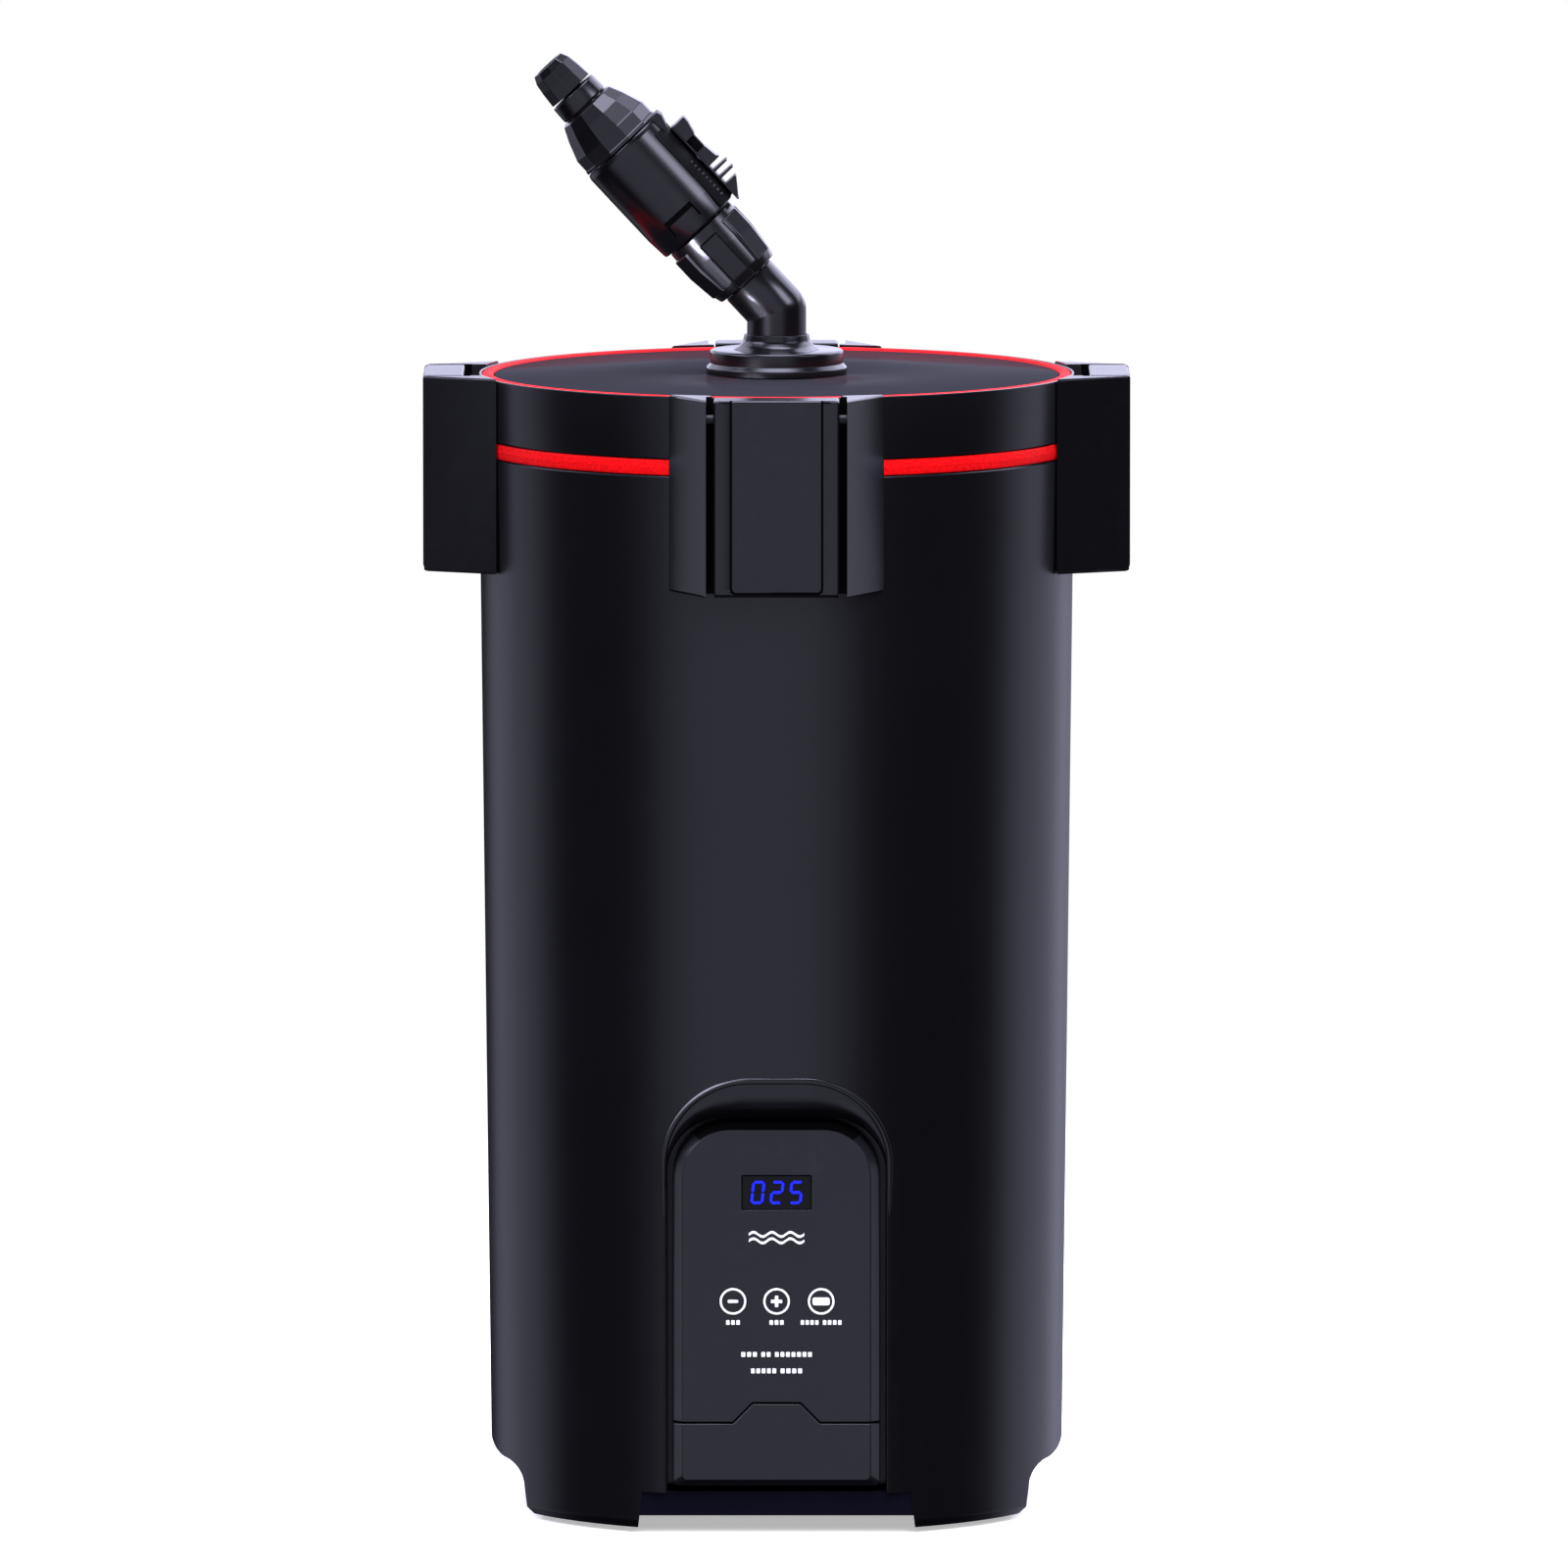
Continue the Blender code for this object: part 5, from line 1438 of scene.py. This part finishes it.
# ---------------------------------------------------------------- carried-over CAD nodes


def dress(node, material):
    """Rounds a CAD node's edges with modifiers and gives it its material."""
    obj = NODES[node]
    weld = obj.modifiers.new("weld", "WELD")
    weld.merge_threshold = 0.00001
    soften(obj, 0.0003, 2, 40)
    obj.data.materials.clear()
    obj.data.materials.append(material)


# ---------------------------------------------------------------- assembly

make_barrel()
make_base()
make_cord()
make_outlet()
make_lid()
make_latches()
make_elbow()
make_coupling()
make_tap_body()
make_hose_tail()
make_nut()
make_lever()
make_controller()
for tier, carrier in (("lower", "basket_a"), ("middle", "basket_b"), ("upper", "basket_c")):
    make_basket(tier, carrier)
make_ceramic(random.Random(7))
soft_pad("sponge_pad", "media_coarse_sponge", "basket_b", SPONGE, 0.003, 0.0007, 420, 3)
soft_pad("floss_pad", "media_fine_pad", "basket_c", FLOSS, 0.0025, 0.0006, 260, 5, layers=3)
fibres("floss_fibres", "media_fine_pad", "basket_c", FLOSS, 2600, random.Random(11))
make_handle()

for material, nodes in (
    (INNER, "intake_grille volute motor_housing outlet_nut controller_dock controller_back"),
    (INNER, "latch_pin_front latch_pin_right latch_pin_back latch_pin_left"),
    (STEEL, "bearing_lower bearing_upper motor_shaft"),
    (COPPER, "stator"),
    (BOARD, "circuit_board"),
    (IMPELLER, "impeller"),
    (MAGNET, "rotor_magnet"),
    (BALL, "tap_ball"),
):
    for node in nodes.split():
        dress(node, material)


# ---------------------------------------------------------------- floor, light and camera


# Each panel: (azimuth from the front, half width, softness), (elevation, half height, softness) in
# degrees, then radiance.
PANELS = (
    ((-9, 20, 32), (-20, 44, 20), 0.66),
    ((128, 14, 24), (0, 24, 20), 0.62),
    ((163, 10, 14), (0, 24, 20), 0.34),
    ((-127, 12, 22), (0, 24, 20), 0.48),
    ((60, 15, 12), (34, 9, 9), 1.6),
    ((-78, 18, 10), (42, 10, 8), 4.5),
    ((142, 25, 15), (35, 12, 10), 3.0),
    ((-142, 25, 15), (35, 12, 10), 1.5),
    ((180, 30, 20), (8, 5, 4), 1.8),
)
# The panel overhead: elevation, half height and softness in degrees, then radiance.
OVERHEAD = (90, 14, 12, 9.0)
AMBIENT = 0.01
STUDIO_TINT = (0.9, 0.9, 1.2)
FLOOR_GLOW = 0.45
LENS, SENSOR, CAMERA_AT, CAMERA_TILT = 566.8, 36, (0.003, -10.0, 1.3377), 5.957
WHITE = (1.0, 1.0, 1.0)

# Each soft box: where it is, what it faces, its width and height, its power, and how the names of
# the pieces whose gloss shows it start.
CARDS = {
    "bead_card": ((-0.95, -0.6, 0.85), (-0.03, -0.11, 0.17), (1.2, 1.2), 45.0, ("pocket_bead",)),
    "nut_card": ((-0.01, -0.27, 1.31), (-0.07, 0.0, 0.56), (0.25, 0.25), 0.5, ("nut_",)),
    "case_card_left": ((-0.8, -0.16, 0.06), (0.0, -0.11, 0.1), (0.3, 0.5), 0.55, ("controller_f",)),
    "case_card_right": ((0.8, -0.16, 0.06), (0.0, -0.11, 0.1), (0.3, 0.5), 0.45, ("controller_f",)),
    "elbow_card": (
        (-0.3, -0.36, 0.22), (-0.02, 0.0, 0.5), (0.11, 0.36), 8.0, ("elbow_", "socket_skin", "port_collar"),
    ),
    "tap_card": (
        (0.66, -0.46, 1.07), (-0.05, 0.0, 0.54), (0.34, 0.34), 2.4,
        ("elbow_", "socket_", "tap_barrel", "hose_"),
    ),
}


def make_floor():
    """A pale floor that only the camera sees, fading to white with distance."""
    bm = bmesh.new()
    bmesh.ops.create_grid(bm, x_segments=2, y_segments=2, size=60)
    floor = link("studio_floor", bpy.data.meshes.new("studio_floor"))
    bm.to_mesh(floor.data)
    bm.free()
    g = Graph("pale_floor")
    speck = g.remap(g.noise(40.0, 4.0), 0.3, 0.7, 0.86, 0.9)
    g.out(
        Base_Color=speck, Roughness=0.9, Specular_IOR_Level=0.0, Emission_Color=WHITE,
        Emission_Strength=FLOOR_GLOW,
    )
    far = g.add("VectorMath", {"operation": "LENGTH"})
    g.set(far.inputs[0], g.where)
    share = g.remap(far.outputs["Value"], 0.35, 1.6, 0.0, 1.0)
    glow = g.add("Emission", Color=WHITE, Strength=1.0)
    blend = g.add("MixShader")
    g.set(blend.inputs[0], share)
    g.set(blend.inputs[1], g.shader.outputs[0])
    g.set(blend.inputs[2], glow.outputs[0])
    g.set(g.tree.nodes["Material Output"].inputs["Surface"], blend.outputs[0])
    floor.data.materials.append(g.material)
    hide_from(floor, "diffuse", "glossy", "transmission", "shadow")


def lobe(g, angle, centre, half, soft):
    """1 within half of the centre angle, falling to 0 over soft, all in degrees."""
    away = g.math("ABSOLUTE", g.math("SUBTRACT", angle, centre))
    return g.ranged(away, half, half + soft, 1.0, 0.0, "SMOOTHSTEP")


def make_world():
    """A studio of soft panels on black, white where the camera sees it."""
    world = bpy.data.worlds.new("studio")
    bpy.context.scene.world = world
    world.use_nodes = True
    g = Graph.__new__(Graph)  # the same short forms, on the world's own nodes
    g.tree = world.node_tree
    background = g.tree.nodes["Background"]
    ray = g.add("TexCoord").outputs["Generated"]
    parts = g.add("SeparateXYZ")
    g.set(parts.inputs[0], ray)
    x, y, z = parts.outputs
    azimuth = g.math("MULTIPLY", g.math("ARCTAN2", x, g.math("MULTIPLY", y, -1.0)), 180 / math.pi)
    height = g.math("MULTIPLY", g.math("ARCSINE", z), 180 / math.pi)
    total = g.math("MULTIPLY", lobe(g, height, *OVERHEAD[:3]), OVERHEAD[3])
    for across, up, power in PANELS:
        sideways = lobe(g, azimuth, *across)
        if across[0] == 180:
            sideways = g.math("ADD", sideways, lobe(g, azimuth, -180, *across[1:]))
        piece = g.math("MULTIPLY", g.math("MULTIPLY", sideways, lobe(g, height, *up)), power)
        total = g.math("ADD", piece, total)
    total = g.math("ADD", total, AMBIENT)
    tinted = g.multiply(STUDIO_TINT, total)
    seen = g.add("LightPath").outputs["Is Camera Ray"]
    g.set(background.inputs["Color"], g.mix(seen, tinted, WHITE))
    g.set(background.inputs["Strength"], 1.0)


def hide_from(obj, *rays):
    """Hides the object from these kinds of ray."""
    for ray in rays:
        setattr(obj, f"visible_{ray}", False)


def make_lamp(name, at, towards, size, power, hidden):
    """A rectangular lamp that the camera does not see and one kind of surface does not show."""
    lamp = bpy.data.lights.new(name, "AREA")
    lamp.shape = "RECTANGLE"
    lamp.size, lamp.size_y = size
    lamp.energy = power
    obj = link(name, lamp)
    obj.location = at
    obj.rotation_euler = (Vector(at) - Vector(towards)).to_track_quat("Z", "Y").to_euler()
    hide_from(obj, "camera", "transmission", hidden)
    return obj


def make_fill(name, azimuth, elevation, distance, size, power):
    """A soft lamp for colour only: it lights matt surfaces and shows in no reflection."""
    a, e = math.radians(azimuth), math.radians(elevation)
    out = Vector((math.sin(a) * math.cos(e), -math.cos(a) * math.cos(e), math.sin(e)))
    aim = Vector((0, 0, 0.3))
    make_lamp(name, aim + out * distance, aim, (size, size), power, "glossy")


def make_card(name, at, towards, size, power, starts):
    """A small soft box that shows only in the gloss of some visual pieces."""
    obj = make_lamp(name, at, towards, size, power, "diffuse")
    obj.data.color = (0.78, 0.78, 1.0)
    chosen = bpy.data.collections.new(f"{name}_receivers")
    for piece in bpy.data.objects:
        if piece.type == "MESH" and piece.name.startswith(starts) and piece.name not in NODES:
            chosen.objects.link(piece)
    obj.light_linking.receiver_collection = chosen
    obj.light_linking.blocker_collection = chosen


def make_camera():
    """The product view: far away, a little above the lid, with a long lens."""
    camera = bpy.data.cameras.new("camera")
    camera.lens, camera.sensor_width = LENS, SENSOR
    camera.clip_start, camera.clip_end = 0.1, 200
    obj = link("camera", camera)
    obj.location = CAMERA_AT
    obj.rotation_euler = (math.radians(90 - CAMERA_TILT), 0, 0)
    bpy.context.scene.camera = obj


make_floor()
make_world()
make_fill("fill_front", 8, 30, 2.2, 1.4, 55)
make_fill("fill_right", 120, 30, 2.2, 1.2, 18)
make_fill("fill_left", -120, 30, 2.2, 1.2, 18)
make_fill("fill_top", 0, 88, 2.0, 1.6, 25)
for card, settings in CARDS.items():
    make_card(card, *settings)
make_camera()
bpy.context.scene.view_settings.view_transform = "Standard"

bpy.context.view_layer.update()
